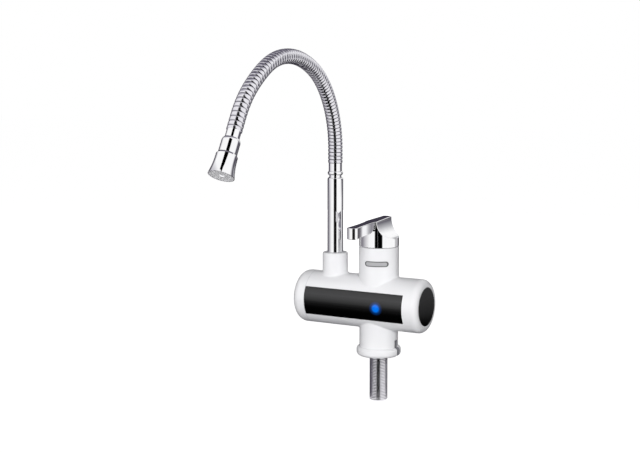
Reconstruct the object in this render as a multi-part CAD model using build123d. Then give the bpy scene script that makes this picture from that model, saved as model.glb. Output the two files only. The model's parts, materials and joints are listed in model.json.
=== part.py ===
from build123d import *
import math
import os

os.makedirs("parts", exist_ok=True)

# Electric instant water heater tap, in millimetres.
# The origin is on the axis of the neck, in the plane where the flange stands on the deck.
# +X runs along the heater barrel to its closed end, the front panel faces -Y, and +Z is up.

# Clearances
running_gap = 0.06
slip_gap = 0.1
body_gap = 0.3
seat_gap = 0.05

# How far a cut runs past the face it opens
past = 1.0

# Heater barrel, lying along X
barrel_r = 31.0
barrel_wall = 4.0
barrel_bore_r = barrel_r - barrel_wall
barrel_axis_z = 62.1
barrel_seam_x = -83.3
barrel_cap_x = -101.0
barrel_end_x = 60.7
barrel_end_wall = 4.0
cap_corner_r = 10.0
end_corner_r = 7.5

# Neck, flange and spout socket
upper_neck_r = 23.2
upper_neck_wall = 3.2
upper_neck_bore_r = upper_neck_r - upper_neck_wall
lower_neck_r = 22.5
lower_neck_wall = 3.0
lower_neck_bore_r = lower_neck_r - lower_neck_wall
neck_top_z = 128.2
neck_edge_r = 0.8
flange_r = 25.8
flange_h = 10.8
flange_top_round = 3.6
flange_bottom_round = 4.4
floor_z = 2.3
floor_h = 4.0
socket_x = -57.8
socket_wall = 2.7
socket_top_z = 117.2
socket_lid_h = 4.0
socket_edge_r = 2.0
junction_round = 2.0
socket_round = 3.0

# Cable notch in the side of the lower neck
notch_w = 7.0
notch_top_z = 19.5

# Left end cap
cap_wall = 3.0
cap_spigot_l = 6.0
cap_spigot_wall = 2.0

# Decorative disc in the closed end
disc_r = 22.3
disc_t = 1.6
disc_proud = 0.2
disc_edge_r = 0.4

# Glossy front panel
panel_top_angle = 31.0
panel_bottom_angle = 33.8
panel_right_x = 43.3
panel_t = 1.9
panel_proud = 0.15
panel_edge = 0.4

# Indicator
indicator_x = 10.8
indicator_drop = 1.5
indicator_z = barrel_axis_z - indicator_drop
indicator_r = 3.8
led_r = 2.5
led_gap = 0.5

# Blank name plate on the upper neck
plate_turn = 18.7
plate_w = 27.4
plate_h = 6.2
plate_z = 110.2
plate_t = 0.5
plate_corner_r = 3.0

# Inlet shank, G1/2 outside thread
shank_r = 10.4775
shank_neck_r = 10.2
shank_bore_r = 6.0
shank_drop = 53.2
shank_end_chamfer = 1.2
shank_collar_r = 16.0
shank_collar_h = 5.0
shank_spigot_r = 9.0
shank_spigot_l = 12.8
gasket_r = 20.0

# Mixing valve block inside the neck
block_r = 13.0
block_passage_r = 5.0
seal_port_r = 7.0
cup_gap = 0.6
cup_wall = 1.8
cup_floor_t = 2.0
cup_cone_h = 5.0
cup_depth = 26.4
cup_r = upper_neck_bore_r - cup_gap
cup_bore_r = cup_r - cup_wall
cup_drop = 6.8
cup_top_z = neck_top_z - cup_drop
cup_floor_z = cup_top_z - cup_depth
cup_bottom_z = cup_floor_z - cup_floor_t

# Ceramic cartridge
cartridge_seal_t = 1.0
cartridge_wall = 2.5
cartridge_r = cup_bore_r - slip_gap
cartridge_h = 20.0
cartridge_neck_r = 12.0
cartridge_neck_rise = 2.6
cartridge_neck_top_z = cup_top_z + cartridge_neck_rise
cartridge_cavity_r = cartridge_r - cartridge_wall
ceramic_gap = 0.6
ceramic_r = cartridge_cavity_r - ceramic_gap
ceramic_t = 3.0
ceramic_port_r = 2.6
ceramic_port_pitch_r = 8.0
disc_face_gap = 0.1
stem_r = 5.0
stem_rise = 20.9
stem_flat = 3.9
stem_tang_half_w = 4.4
stem_tang_half_t = 1.8
stem_tang_foot = 1.0
stem_flat_foot = 2.0
ceramic_rim = 1.5
ceramic_channel = 1.0
ceramic_channel_y = 7.0
nut_flange_h = 3.6
nut_wall = 0.3

# Handle casting, with heights above the skirt's lower edge
handle_step = 0.1
handle_r = upper_neck_r - handle_step
handle_skirt_gap = 0.4
handle_skirt_z = neck_top_z + handle_skirt_gap
handle_cavity_r = 20.2
handle_cavity_h = 7.8
handle_back_h = 32.7
handle_tip_h = 28.4
handle_tip_under_h = 15.4
handle_root_under_h = 17.7
lever_reach = 70.0
lever_half_w = 6.45
lever_nose_r = 11.0
scoop_r = 20.5
scoop_x = 27.0
scoop_h = 30.6
relief_r = 9.5
relief_gap = 2.6
relief_root = 0.6
handle_screw_r = 2.5
handle_screw_l = 5.0
handle_screw_h = 14.8
handle_screw_key_l = 2.0

# Heater tank
tank_r = 17.5
tank_wall = 1.2
tank_y = 6.0
tank_drop = 2.1
tank_z = barrel_axis_z - tank_drop
tank_left_x = -90.0
tank_right_x = -30.0
tank_boss_r = 9.5
tank_boss_wall = 2.4
tank_boss_h = 20.0
tank_boss_top_z = tank_z + tank_boss_h
tank_cover_t = 3.0
tank_plug_l = 6.0
tank_plug_r = 16.2
tank_seal_t = 1.2
tank_seal_w = 2.0
cradle_t = 2.0
cradle_drop = 8.0
cradle_top_z = tank_z - cradle_drop
cradle_front_y = -11.0
cradle_left_x = -76.0
cradle_right_x = -40.0
cradle_root = 0.2
cutout_r = 6.0
cutout_h = 4.8
cutout_x = -78.0
element_r = 3.2
element_pitch = 16.0
element_bend_x = -48.0
element_tail_l = 4.0

# Water ways
feed_r = 4.0
feed_drop = 10.0
feed_z = tank_z - feed_drop
feed_y = 4.0
feed_inside = 1.0
bypass_r = 3.0
bypass_lift = 0.2
bypass_z = tank_boss_top_z + bypass_r + bypass_lift
way_wall = 1.0
way_socket = 3.0

# Flow switch
switch_y = 2.0
switch_drop = 2.1
switch_z = barrel_axis_z - switch_drop
switch_r = 17.0
switch_x = 20.0
switch_depth = 11.0
switch_wall = 2.5
switch_port_r = 6.0
diaphragm_t = 1.0
cover_depth = 8.0
cover_wall = 2.5
plunger_plate_r = 10.0
plunger_plate_t = 1.5
plunger_r = 3.0
plunger_tip_x = 41.5
plunger_travel = 1.5
micro_l = 6.0
micro_w = 16.0
micro_h = 17.0
shelf_t = 3.0

# Control board
board_x0 = -60.0
board_x1 = 45.0
board_rim_gap = 0.5
board_t = 1.6
board_h = 31.0
board_y = -math.sqrt((barrel_bore_r - board_rim_gap) ** 2 - board_h ** 2 / 4)
terminal_l = 24.0
terminal_h = 12.0
terminal_t = 7.6
terminal_x = -60.0
terminal_drop = 12.1
terminal_z = barrel_axis_z - terminal_drop

# Swivelling spout pipe
pipe_r = 9.25
pipe_wall = 1.35
pipe_bore_r = pipe_r - pipe_wall
pipe_tail_bore_r = 6.0
pipe_tail_rise = 0.8
pipe_tail_top_z = socket_top_z + pipe_tail_rise
pipe_rise = 88.7
pipe_top_z = socket_top_z + pipe_rise
pipe_shoulder_r = 2.2
seal_r = 0.95
seal_ease = 0.01
clip_t = 1.0
clip_w = 3.2
clip_groove_depth = 1.2
clip_gap_angle = 50.0
fitting_wall = 2.65
fitting_gap = 0.2
fitting_foot = 0.5
pipe_seal_bore = pipe_r + slip_gap
fitting_r = pipe_seal_bore + fitting_wall
fitting_waist_z = bypass_z + bypass_r + bypass_lift
pipe_bottom_z = fitting_waist_z + fitting_foot
socket_bore_r = fitting_r + fitting_gap
socket_r = socket_bore_r + socket_wall
clip_z = socket_top_z - socket_lid_h - body_gap - clip_t
fitting_top_z = clip_z - body_gap
seal_rises = (6.6, 14.6)
seal_zs = [fitting_waist_z + rise for rise in seal_rises]
fitting_nipple_l = 5.0
fitting_bore_r = 5.0

# Ferrule at the foot of the gooseneck
ferrule_neck_r = 7.1
ferrule_neck_l = 3.0
ferrule_bead_r = 9.05
ferrule_bead_z = pipe_top_z + ferrule_neck_l
ferrule_bead_h = 4.3
ferrule_bead_edge = 1.1
ferrule_r = 7.8
ferrule_sleeve_l = 9.6
ferrule_top_z = ferrule_bead_z + ferrule_bead_h + ferrule_sleeve_l
ferrule_bore_r = 4.3
ferrule_tail_l = 10.0

# Gooseneck: its length, its straight ends, and the turn of each equal arc between them
hose_l = 329.0
hose_end_l = 17.0
hose_turns = (19, 19, 23, 17, 19, 22, 12, 20)
hose_pieces = 11
ribs_per_piece = 7
rib_r = 8.45
rib_root_r = 7.4
rib_crest_w = 1.4
rib_flank_w = 0.9
hose_bore_r = 4.8
ball_r = 6.6
ball_skirt_l = 2.6
ball_skirt_root = 0.8
ball_bore_r = 5.2
joint_half_gap = 1.05
liner_r = 4.2
liner_bore_r = 3.0
liner_half_gap = 0.65

# Nozzle, measured along its own axis from the end of the gooseneck
collar_r = 7.7
collar_l = 9.3
collar_thread_r = 6.0
collar_thread_l = 6.0
nozzle_r = 9.95
nozzle_shoulder_l = 3.5
nozzle_shoulder_foot = 0.7
nozzle_shoulder_bulge = 0.75
nozzle_joint_t = 26.2
nozzle_spigot_r = 8.6
nozzle_spigot_l = 10.0
nozzle_bore_r = 5.6
bell_top_r = 11.5
bell_step_l = 2.3
bell_rim_r = 14.0
bell_hollow = 0.75
bell_end_t = 51.0
bell_wall = 1.6
bell_hub_l = 8.0
bell_hub_foot = 3.0
bell_seat = 1.2
ring_t = 1.0
ring_r = 9.7
ring_groove_r = 7.6
spray_t = 1.8
spray_sink = 0.9
spray_holes = 16
spray_hole_r = 0.8
spray_pitch_r = 9.5
spray_centre_r = 3.5


def rod(r, z0, z1, x=0.0, y=0.0):
    """Upright cylinder between two heights."""
    return Pos(x, y, (z0 + z1) / 2) * Cylinder(r, z1 - z0)


def x_rod(r, x0, x1, y=0.0, z=0.0):
    """Cylinder lying along X."""
    return Pos((x0 + x1) / 2, y, z) * Rot(0, 90, 0) * Cylinder(r, x1 - x0)


def y_rod(r, y0, y1, x=0.0, z=0.0):
    """Cylinder lying along Y."""
    return Pos(x, (y0 + y1) / 2, z) * Rot(90, 0, 0) * Cylinder(r, y1 - y0)


def block(x0, x1, y0, y1, z0, z1):
    """Box between two corners."""
    return Pos((x0 + x1) / 2, (y0 + y1) / 2, (z0 + z1) / 2) * Box(x1 - x0, y1 - y0, z1 - z0)


def tube(r, bore, z0, z1, x=0.0, y=0.0):
    """Upright tube."""
    return rod(r, z0, z1, x, y) - rod(bore, z0 - past, z1 + past, x, y)


def turned(*edges):
    """Solid turned about Z from a closed outline in the XZ plane."""
    return revolve(make_face(edges), Axis.Z)


def line(*points):
    """Chain of straight lines through (radius, height) points."""
    return Polyline(*[(r, 0, z) for r, z in points])


def arc(start, middle, end):
    """Arc through three (radius, height) points."""
    return ThreePointArc(*[(r, 0, z) for r, z in (start, middle, end)])


def wedge(angle_low, angle_high, x0, x1):
    """Wedge of the barrel between two angles above the front direction."""
    reach = 3 * barrel_r
    low = math.radians(angle_low)
    high = math.radians(angle_high)
    middle = (low + high) / 2
    corners = [(0, 0)]
    for angle in (low, middle, high):
        corners.append((-reach * math.cos(angle), reach * math.sin(angle)))
    outline = Plane.YZ * Pos(0, barrel_axis_z) * Polygon(*corners, align=None)
    return Pos(x0, 0, 0) * extrude(outline, amount=x1 - x0, dir=(1, 0, 0))


def barrel_rod(r, x0, x1):
    """Cylinder on the barrel's axis."""
    return x_rod(r, x0, x1, 0, barrel_axis_z)


def tank_rod(r, x0, x1):
    """Cylinder on the tank's axis."""
    return x_rod(r, x0, x1, tank_y, tank_z)


def switch_rod(r, x0, x1):
    """Cylinder on the flow switch's axis."""
    return x_rod(r, x0, x1, switch_y, switch_z)


def save(name, shape):
    """Write one piece, or one group of like pieces."""
    export_step(shape, f"parts/{name}.step")


# Housing
panel_floor_r = barrel_r + panel_proud - panel_t


def flange_bead():
    """Rounded bead at the foot of the neck."""
    top = flange_top_round
    low = flange_bottom_round
    slant = 1 - math.sqrt(0.5)
    return turned(
        line((0, flange_h), (flange_r - top, flange_h)),
        arc((flange_r - top, flange_h), (flange_r - slant * top, flange_h - slant * top),
            (flange_r, flange_h - top)),
        line((flange_r, flange_h - top), (flange_r, low)),
        arc((flange_r, low), (flange_r - slant * low, slant * low), (flange_r - low, 0)),
        line((flange_r - low, 0), (0, 0), (0, flange_h)))


def curved_edges(shape):
    """Edges where two round walls meet."""
    return [e for e in shape.edges() if e.geom_type not in (GeomType.CIRCLE, GeomType.LINE)]


def housing_outside():
    """Barrel, neck, socket and flange as one moulding, with rounded junctions."""
    barrel = barrel_rod(barrel_r, barrel_seam_x, barrel_end_x)
    barrel = fillet(barrel.edges().group_by(Axis.X)[-1], end_corner_r)
    neck = rod(upper_neck_r, barrel_axis_z, neck_top_z)
    neck = fillet(neck.edges().group_by(Axis.Z)[-1], neck_edge_r)
    foot = rod(lower_neck_r, flange_h / 2, barrel_axis_z)
    socket = rod(socket_r, barrel_axis_z, socket_top_z, socket_x)
    socket = fillet(socket.edges().group_by(Axis.Z)[-1], socket_edge_r)
    body = barrel + neck + foot + socket
    between_x = (socket_x + socket_r - upper_neck_r) / 2
    body = fillet([e for e in curved_edges(body) if e.center().X > between_x], junction_round)
    body = fillet([e for e in curved_edges(body) if e.center().X < between_x], socket_round)
    return body + flange_bead()


def cable_notch():
    """Round-topped slot through the wall of the lower neck and the flange."""
    half = notch_w / 2
    top = notch_top_z - notch_w / 2
    low = lower_neck_bore_r - 2 * past
    slot = block(low, flange_r + 2 * past, -half, half, -past, top)
    return slot + x_rod(half, low, flange_r + 2 * past, 0, top)


def main_housing():
    body = housing_outside()
    body -= barrel_rod(barrel_bore_r, barrel_seam_x - past, barrel_end_x - barrel_end_wall)
    body -= rod(upper_neck_bore_r, barrel_axis_z, neck_top_z + past)
    body -= rod(lower_neck_bore_r, floor_z + floor_h, barrel_axis_z)
    body -= rod(shank_r + slip_gap, -past, floor_z + floor_h + past)
    body -= rod(gasket_r + slip_gap, -past, floor_z)
    body -= rod(socket_bore_r, barrel_axis_z, socket_top_z - socket_lid_h, socket_x)
    body -= rod(pipe_r + body_gap, socket_top_z - socket_lid_h - past, socket_top_z + past, socket_x)
    body -= cable_notch()
    recess = barrel_rod(barrel_r + 2 * past, barrel_seam_x - past, panel_right_x + slip_gap)
    recess -= barrel_rod(panel_floor_r, barrel_seam_x - 2 * past, panel_right_x + past)
    edge = math.degrees(slip_gap / barrel_r)
    recess &= wedge(-panel_bottom_angle - edge, panel_top_angle + edge, barrel_seam_x - 2 * past,
                    panel_right_x + past)
    body -= recess
    body -= y_rod(indicator_r + slip_gap, -barrel_r - past, past - barrel_bore_r, indicator_x, indicator_z)
    body -= barrel_rod(disc_r + slip_gap, barrel_end_x - disc_t + disc_proud, barrel_end_x + past)
    for x in (cradle_left_x, cradle_right_x):
        rib = barrel_rod(barrel_bore_r + cradle_root, x, x + cradle_t)
        rib -= tank_rod(tank_r + seat_gap, x - past, x + cradle_t + past)
        body += rib & block(x - past, x + cradle_t + past, cradle_front_y, barrel_r, 0, cradle_top_z)
    return body


def left_end_cap():
    cap = barrel_rod(barrel_r, barrel_cap_x, barrel_seam_x - slip_gap)
    cap = fillet(cap.edges().group_by(Axis.X)[0], cap_corner_r)
    inside = barrel_rod(barrel_r - cap_wall, barrel_cap_x + cap_wall, barrel_seam_x)
    cap -= fillet(inside.edges().group_by(Axis.X)[0], cap_corner_r - cap_wall)
    spigot_r = barrel_bore_r - slip_gap
    spigot = barrel_rod(spigot_r, barrel_seam_x - cap_spigot_l, barrel_seam_x + cap_spigot_l)
    spigot += barrel_rod(barrel_r - cap_wall / 2, barrel_seam_x - cap_spigot_l, barrel_seam_x - slip_gap)
    spigot -= barrel_rod(spigot_r - cap_spigot_wall, barrel_cap_x, barrel_seam_x + cap_spigot_l + past)
    return cap + spigot


def front_panel():
    left = barrel_seam_x + slip_gap
    outer = barrel_r + panel_proud
    sheet = barrel_rod(outer, left, panel_right_x)
    sheet -= barrel_rod(panel_floor_r + seat_gap, left - past, panel_right_x + past)
    sheet &= wedge(-panel_bottom_angle, panel_top_angle, left - past, panel_right_x + past)
    rim = [e for e in sheet.edges() if edge_radius(e) > outer - panel_edge / 2]
    sheet = chamfer(rim, panel_edge)
    hole = y_rod(indicator_r + slip_gap / 2, -barrel_r - past, -barrel_bore_r, indicator_x, indicator_z)
    return sheet - hole


def edge_radius(edge):
    """Least distance of an edge's middle from the barrel's axis."""
    point = edge @ 0.5
    return math.hypot(point.Y, point.Z - barrel_axis_z)


def right_end_disc():
    disc = barrel_rod(disc_r, barrel_end_x - disc_t + disc_proud, barrel_end_x + disc_proud)
    return fillet(disc.edges().group_by(Axis.X)[-1], disc_edge_r)


def indicator_lens():
    lens = y_rod(indicator_r, -barrel_r - past, -barrel_bore_r, indicator_x, indicator_z)
    reach = 2 * indicator_r
    return lens & barrel_rod(barrel_r + panel_proud, indicator_x - reach, indicator_x + reach)


def name_plate():
    """Blank curved plate on the front of the upper neck."""
    outline = RectangleRounded(plate_w, plate_h, plate_corner_r)
    blank = extrude(Plane.XZ * outline, amount=2 * upper_neck_r)
    blank = Pos(0, 0, plate_z) * Rot(0, 0, plate_turn) * blank
    ring = tube(upper_neck_r + plate_t, upper_neck_r, plate_z - plate_h, plate_z + plate_h)
    return blank & ring


save("main_housing", main_housing())
save("left_end_cap", left_end_cap())
save("front_panel", front_panel())
save("right_end_disc", right_end_disc())
save("indicator_lens", indicator_lens())
save("name_plate", name_plate())

# Inlet shank, gasket and valve block
collar_z = floor_z + floor_h
collar_top_z = collar_z + shank_collar_h
spigot_top_z = collar_top_z + shank_spigot_l


def threaded_shank():
    shank = rod(shank_r, -shank_drop, 0)
    shank = chamfer(shank.edges().group_by(Axis.Z)[0], shank_end_chamfer)
    shank += rod(shank_neck_r, 0, collar_z)
    shank += rod(shank_collar_r, collar_z, collar_top_z)
    shank += rod(shank_spigot_r, collar_top_z, spigot_top_z)
    return shank - rod(shank_bore_r, -shank_drop - past, spigot_top_z + past)


def valve_block():
    body = turned(
        line((0, collar_top_z), (block_r, collar_top_z), (block_r, cup_bottom_z - cup_cone_h),
             (cup_r, cup_bottom_z), (cup_r, cup_top_z), (0, cup_top_z), (0, collar_top_z)))
    body -= rod(shank_spigot_r + seat_gap, collar_top_z - past, spigot_top_z + seat_gap)
    body -= rod(block_passage_r, collar_top_z, cup_floor_z + past)
    body -= rod(cup_bore_r, cup_floor_z, cup_top_z + past)
    body -= x_rod(feed_r + seat_gap, -block_r - past, way_socket - block_r, feed_y, feed_z)
    body -= x_rod(feed_r - way_wall, -block_r - past, 0, feed_y, feed_z)
    body -= x_rod(bypass_r + seat_gap, -block_r - past, way_socket - block_r, 0, bypass_z)
    body -= x_rod(bypass_r - way_wall, -block_r - past, 0, 0, bypass_z)
    body -= x_rod(switch_port_r + seat_gap, block_r - way_socket, block_r + past, switch_y, switch_z)
    return body - x_rod(switch_port_r - way_wall, 0, block_r + past, switch_y, switch_z)


save("threaded_shank", threaded_shank())
save("base_gasket", tube(gasket_r, shank_r + slip_gap, 0, floor_z))
save("valve_block", valve_block())

# Ceramic cartridge
cartridge_z = cup_floor_z + cartridge_seal_t
fixed_top_z = cartridge_z + seat_gap + ceramic_t
moving_z = fixed_top_z + disc_face_gap
moving_top_z = moving_z + ceramic_t
cartridge_top_z = cartridge_z + cartridge_h
nut_bore_r = cartridge_neck_r + nut_wall
stem_top_z = handle_skirt_z + stem_rise


def ceramic_ports(z0, z1, turns):
    """Water ports through a ceramic disc."""
    port = rod(ceramic_port_r, z0 - past, z1 + past, ceramic_port_pitch_r)
    return Compound([Rot(0, 0, turn) * port for turn in turns])


def fixed_disc():
    return rod(ceramic_r, cartridge_z, fixed_top_z) - ceramic_ports(cartridge_z, fixed_top_z, (90, 210, 330))


def cartridge_body():
    body = rod(cartridge_r, cartridge_z, cartridge_top_z)
    body += rod(cartridge_neck_r, cartridge_top_z, cartridge_neck_top_z)
    body -= rod(cartridge_cavity_r, cartridge_z - past, moving_top_z + body_gap)
    return body - rod(stem_r + running_gap, cartridge_z, cartridge_neck_top_z + past)


def stem_tang(margin):
    """Flat tang at the foot of the stem, which turns the upper disc."""
    half_w = stem_tang_half_w + margin
    half_t = stem_tang_half_t + margin
    return block(-half_w, half_w, -half_t, half_t, moving_z + stem_tang_foot, moving_top_z + stem_tang_foot)


def cartridge_stem():
    stem = rod(stem_r, moving_top_z + seat_gap, stem_top_z)
    reach = stem_r + past
    flats = block(-reach, reach, stem_flat, reach, cartridge_neck_top_z + stem_flat_foot, stem_top_z + past)
    stem -= flats
    stem -= mirror(flats, Plane.XZ)
    return stem + stem_tang(0)


def moving_disc():
    disc = rod(ceramic_r, moving_z, moving_top_z)
    reach = ceramic_port_pitch_r + ceramic_port_r
    channel_z = moving_z + ceramic_channel
    slot = Rot(0, 0, 90) * block(-reach, reach, ceramic_channel_y, reach, moving_z - past, channel_z)
    disc -= slot & rod(ceramic_r - ceramic_rim, moving_z - past, channel_z)
    return disc - stem_tang(seat_gap)


def cartridge_nut():
    nut = rod(cup_bore_r - seat_gap, cartridge_top_z + seat_gap, cup_top_z)
    nut += rod(cup_r, cup_top_z, cup_top_z + nut_flange_h)
    return nut - rod(nut_bore_r, cartridge_top_z, cup_top_z + nut_flange_h + past)


save("cartridge_seal", tube(cup_bore_r - seat_gap, seal_port_r, cup_floor_z, cartridge_z))
save("cartridge_body", cartridge_body())
save("fixed_disc", fixed_disc())
save("moving_disc", moving_disc())
save("cartridge_stem", cartridge_stem())
save("cartridge_nut", cartridge_nut())


# Handle: a turned cap drawn out into a lever, scooped hollow along both sides
handle_cavity_top_z = handle_skirt_z + handle_cavity_h
handle_back_top_z = handle_skirt_z + handle_back_h
handle_tip_top_z = handle_skirt_z + handle_tip_h
handle_tip_under_z = handle_skirt_z + handle_tip_under_h
handle_root_under_z = handle_skirt_z + handle_root_under_h
handle_screw_z = handle_skirt_z + handle_screw_h
scoop_z = handle_skirt_z + scoop_h


def handle_top_z(y):
    """Height of the flat top, which falls from the back of the cap to the lever's tip."""
    slope = (handle_back_top_z - handle_tip_top_z) / (handle_r + lever_reach)
    return handle_tip_top_z + slope * (y + lever_reach)


def lever_outline():
    """Side outline of the lever, from its nose to the back of the cap."""
    under_y = -handle_r - relief_gap - relief_r
    centre_z = handle_root_under_z + relief_r
    slant = relief_r * math.sqrt(0.5)
    tip = -lever_reach
    back = handle_r + past
    low = centre_z - relief_r
    edges = [
        Polyline((0, tip, handle_tip_under_z), (0, under_y, handle_root_under_z)),
        ThreePointArc((0, under_y, handle_root_under_z), (0, under_y + slant, centre_z - slant),
                      (0, under_y + relief_r, centre_z)),
        Polyline((0, under_y + relief_r, centre_z), (0, relief_root - handle_r, centre_z + relief_gap / 2),
                 (0, 0, low), (0, back, low), (0, back, handle_top_z(back)), (0, tip, handle_tip_top_z),
                 (0, tip, handle_tip_under_z)),
    ]
    return make_face(edges)


def lever():
    bar = extrude(lever_outline(), amount=lever_half_w, both=True)
    over_z = handle_back_top_z + lever_nose_r
    nose = rod(lever_nose_r, handle_skirt_z, over_z, 0, lever_nose_r - lever_reach)
    ahead = block(-handle_r, handle_r, lever_nose_r - lever_reach, 0, handle_skirt_z, over_z)
    return bar & (nose + ahead + rod(handle_r, handle_skirt_z, over_z))


def handle():
    over_z = handle_back_top_z + scoop_r
    reach = handle_r + past
    cap = rod(handle_r, handle_skirt_z, over_z)
    above = Polyline((0, reach, handle_top_z(reach)), (0, -reach, handle_top_z(-reach)),
                     (0, -reach, over_z + past), (0, reach, over_z + past), (0, reach, handle_top_z(reach)))
    cap -= extrude(make_face([above]), amount=reach, both=True)
    for side in (-1, 1):
        outer = sorted((side * (scoop_x - scoop_r), side * 2 * scoop_x))
        cap -= y_rod(scoop_r, -reach, reach, side * scoop_x, scoop_z)
        cap -= block(*outer, -reach, reach, scoop_z, over_z + past)
    cap += lever()
    cap -= rod(handle_cavity_r, handle_skirt_z - past, handle_cavity_top_z)
    cap -= rod(stem_r + seat_gap, handle_cavity_top_z - past, stem_top_z + body_gap)
    return cap - y_rod(handle_screw_r, 0, reach, 0, handle_screw_z)


def handle_screw():
    """Grub screw in the back of the handle, which grips the stem's flat."""
    start = stem_flat + seat_gap
    screw = y_rod(handle_screw_r - seat_gap, start, start + handle_screw_l, 0, handle_screw_z)
    socket = Plane.XZ * Pos(0, handle_screw_z) * RegularPolygon(handle_screw_r / 2, 6)
    socket = Pos(0, start + handle_screw_l + past, 0) * extrude(socket, amount=handle_screw_key_l + past)
    return screw - socket


save("handle", handle())
save("handle_screw", handle_screw())


# Heater tank
def heater_tank():
    tank = tank_rod(tank_r, tank_left_x, tank_right_x)
    tank += rod(tank_boss_r, tank_z, tank_boss_top_z, socket_x)
    tank -= tank_rod(tank_r - tank_wall, tank_left_x - past, tank_right_x - tank_wall)
    tank -= rod(tank_boss_r - tank_boss_wall, tank_z, tank_boss_top_z + past, socket_x)
    return tank - x_rod(feed_r + seat_gap, tank_right_x - 2 * tank_wall, tank_right_x + past, feed_y, feed_z)


def tank_cover():
    cover = tank_rod(tank_r, tank_left_x - tank_cover_t, tank_left_x)
    cover += tank_rod(tank_plug_r, tank_left_x, tank_left_x + tank_plug_l)
    middle = tank_left_x + tank_plug_l / 2
    groove = tank_rod(tank_r, middle - tank_seal_w / 2, middle + tank_seal_w / 2)
    groove -= tank_rod(tank_plug_r - tank_seal_t, middle - tank_seal_w, middle + tank_seal_w)
    cover -= groove
    for side in (-1, 1):
        leg_y = tank_y + side * element_pitch / 2
        cover -= x_rod(element_r + seat_gap, tank_left_x - tank_cover_t - past,
                       tank_left_x + tank_plug_l + past, leg_y, tank_z)
    return cover


def tank_seal():
    middle = tank_left_x + tank_plug_l / 2
    half = tank_seal_w / 2 - seat_gap
    ring = tank_rod(tank_r - tank_wall - seat_gap / 2, middle - half, middle + half)
    return ring - tank_rod(tank_plug_r - tank_seal_t + seat_gap / 2, middle - 2 * half, middle + 2 * half)


def heating_element():
    """Hairpin rod, its two legs joined by a half turn."""
    bend = element_pitch / 2
    tail_x = tank_left_x - tank_cover_t - element_tail_l
    legs = x_rod(element_r, tail_x, element_bend_x, tank_y - bend, tank_z)
    legs += x_rod(element_r, tail_x, element_bend_x, tank_y + bend, tank_z)
    turn = Pos(element_bend_x, tank_y, tank_z) * Torus(bend, element_r)
    reach = bend + 2 * element_r
    half = block(element_bend_x, element_bend_x + reach, tank_y - reach, tank_y + reach,
                 tank_z - 2 * element_r, tank_z + 2 * element_r)
    return legs + (turn & half)


def thermal_cutout():
    cup = rod(cutout_r, tank_z, tank_z + tank_r + cutout_h, cutout_x, tank_y)
    return cup - tank_rod(tank_r + seat_gap, tank_left_x, tank_right_x)


def straight_way(r, x0, x1, y, z):
    """Straight water tube along X."""
    return x_rod(r, x0, x1, y, z) - x_rod(r - way_wall, x0 - past, x1 + past, y, z)


feed_start = tank_right_x - tank_wall - feed_inside
bypass_start = socket_x + math.sqrt(fitting_r ** 2 - bypass_r ** 2) - way_socket
save("heater_tank", heater_tank())
save("tank_cover", tank_cover())
save("tank_seal", tank_seal())
save("heating_element", heating_element())
save("thermal_cutout", thermal_cutout())
save("hot_feed_tube", straight_way(feed_r, feed_start, way_socket - block_r - seat_gap, feed_y, feed_z))
save("cold_bypass_tube", straight_way(bypass_r, bypass_start, way_socket - block_r - seat_gap, 0, bypass_z))

# Flow switch
diaphragm_x = switch_x + switch_depth
cover_x = diaphragm_x + diaphragm_t
cover_end_x = cover_x + cover_depth
micro_x = plunger_tip_x + plunger_travel + body_gap


def flow_switch_body():
    body = switch_rod(switch_r, switch_x, diaphragm_x)
    body -= switch_rod(switch_r - switch_wall, switch_x + switch_wall, diaphragm_x + past)
    port_x = block_r - way_socket + seat_gap
    body += switch_rod(switch_port_r, port_x, switch_x)
    return body - switch_rod(switch_port_r - way_wall, port_x - past, switch_x + switch_wall + past)


def flow_switch_cover():
    cover = switch_rod(switch_r, cover_x, cover_end_x)
    cover -= switch_rod(switch_r - switch_wall, cover_x - past, cover_end_x - cover_wall)
    shelf_z = switch_z - micro_h / 2
    cover += block(cover_end_x - cover_wall, micro_x + micro_l,
                   switch_y - micro_w / 2, switch_y + micro_w / 2, shelf_z - shelf_t, shelf_z)
    return cover - switch_rod(plunger_r + running_gap, cover_x, cover_end_x + past)


def flow_plunger():
    plate_x = cover_x + body_gap
    plate = switch_rod(plunger_plate_r, plate_x, plate_x + plunger_plate_t)
    return plate + switch_rod(plunger_r, plate_x, plunger_tip_x)


def micro_switch():
    return block(micro_x, micro_x + micro_l, switch_y - micro_w / 2, switch_y + micro_w / 2,
                 switch_z - micro_h / 2, switch_z + micro_h / 2)


save("flow_switch_body", flow_switch_body())
save("flow_diaphragm", switch_rod(switch_r, diaphragm_x, cover_x))
save("flow_switch_cover", flow_switch_cover())
save("flow_plunger", flow_plunger())
save("micro_switch", micro_switch())


# Control board behind the front panel
def control_board():
    return block(board_x0, board_x1, board_y, board_y + board_t,
                 barrel_axis_z - board_h / 2, barrel_axis_z + board_h / 2)


def terminal_block():
    body = block(terminal_x, terminal_x + terminal_l, board_y + board_t, board_y + board_t + terminal_t,
                 terminal_z, terminal_z + terminal_h)
    for step in (1, 3, 5):
        hole_x = terminal_x + step * terminal_l / 6
        body -= rod(terminal_l / 12, terminal_z + terminal_h / 2, terminal_z + terminal_h + past, hole_x,
                    board_y + board_t + terminal_t / 2)
    return body


save("control_board", control_board())
save("terminal_block", terminal_block())
save("indicator_led", y_rod(led_r, led_gap - barrel_bore_r, board_y, indicator_x, indicator_z))

# Spout pipe and its seat
seal_groove_r = pipe_seal_bore - 2 * (seal_r + seal_ease)
clip_groove_r = pipe_r - clip_groove_depth


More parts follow.
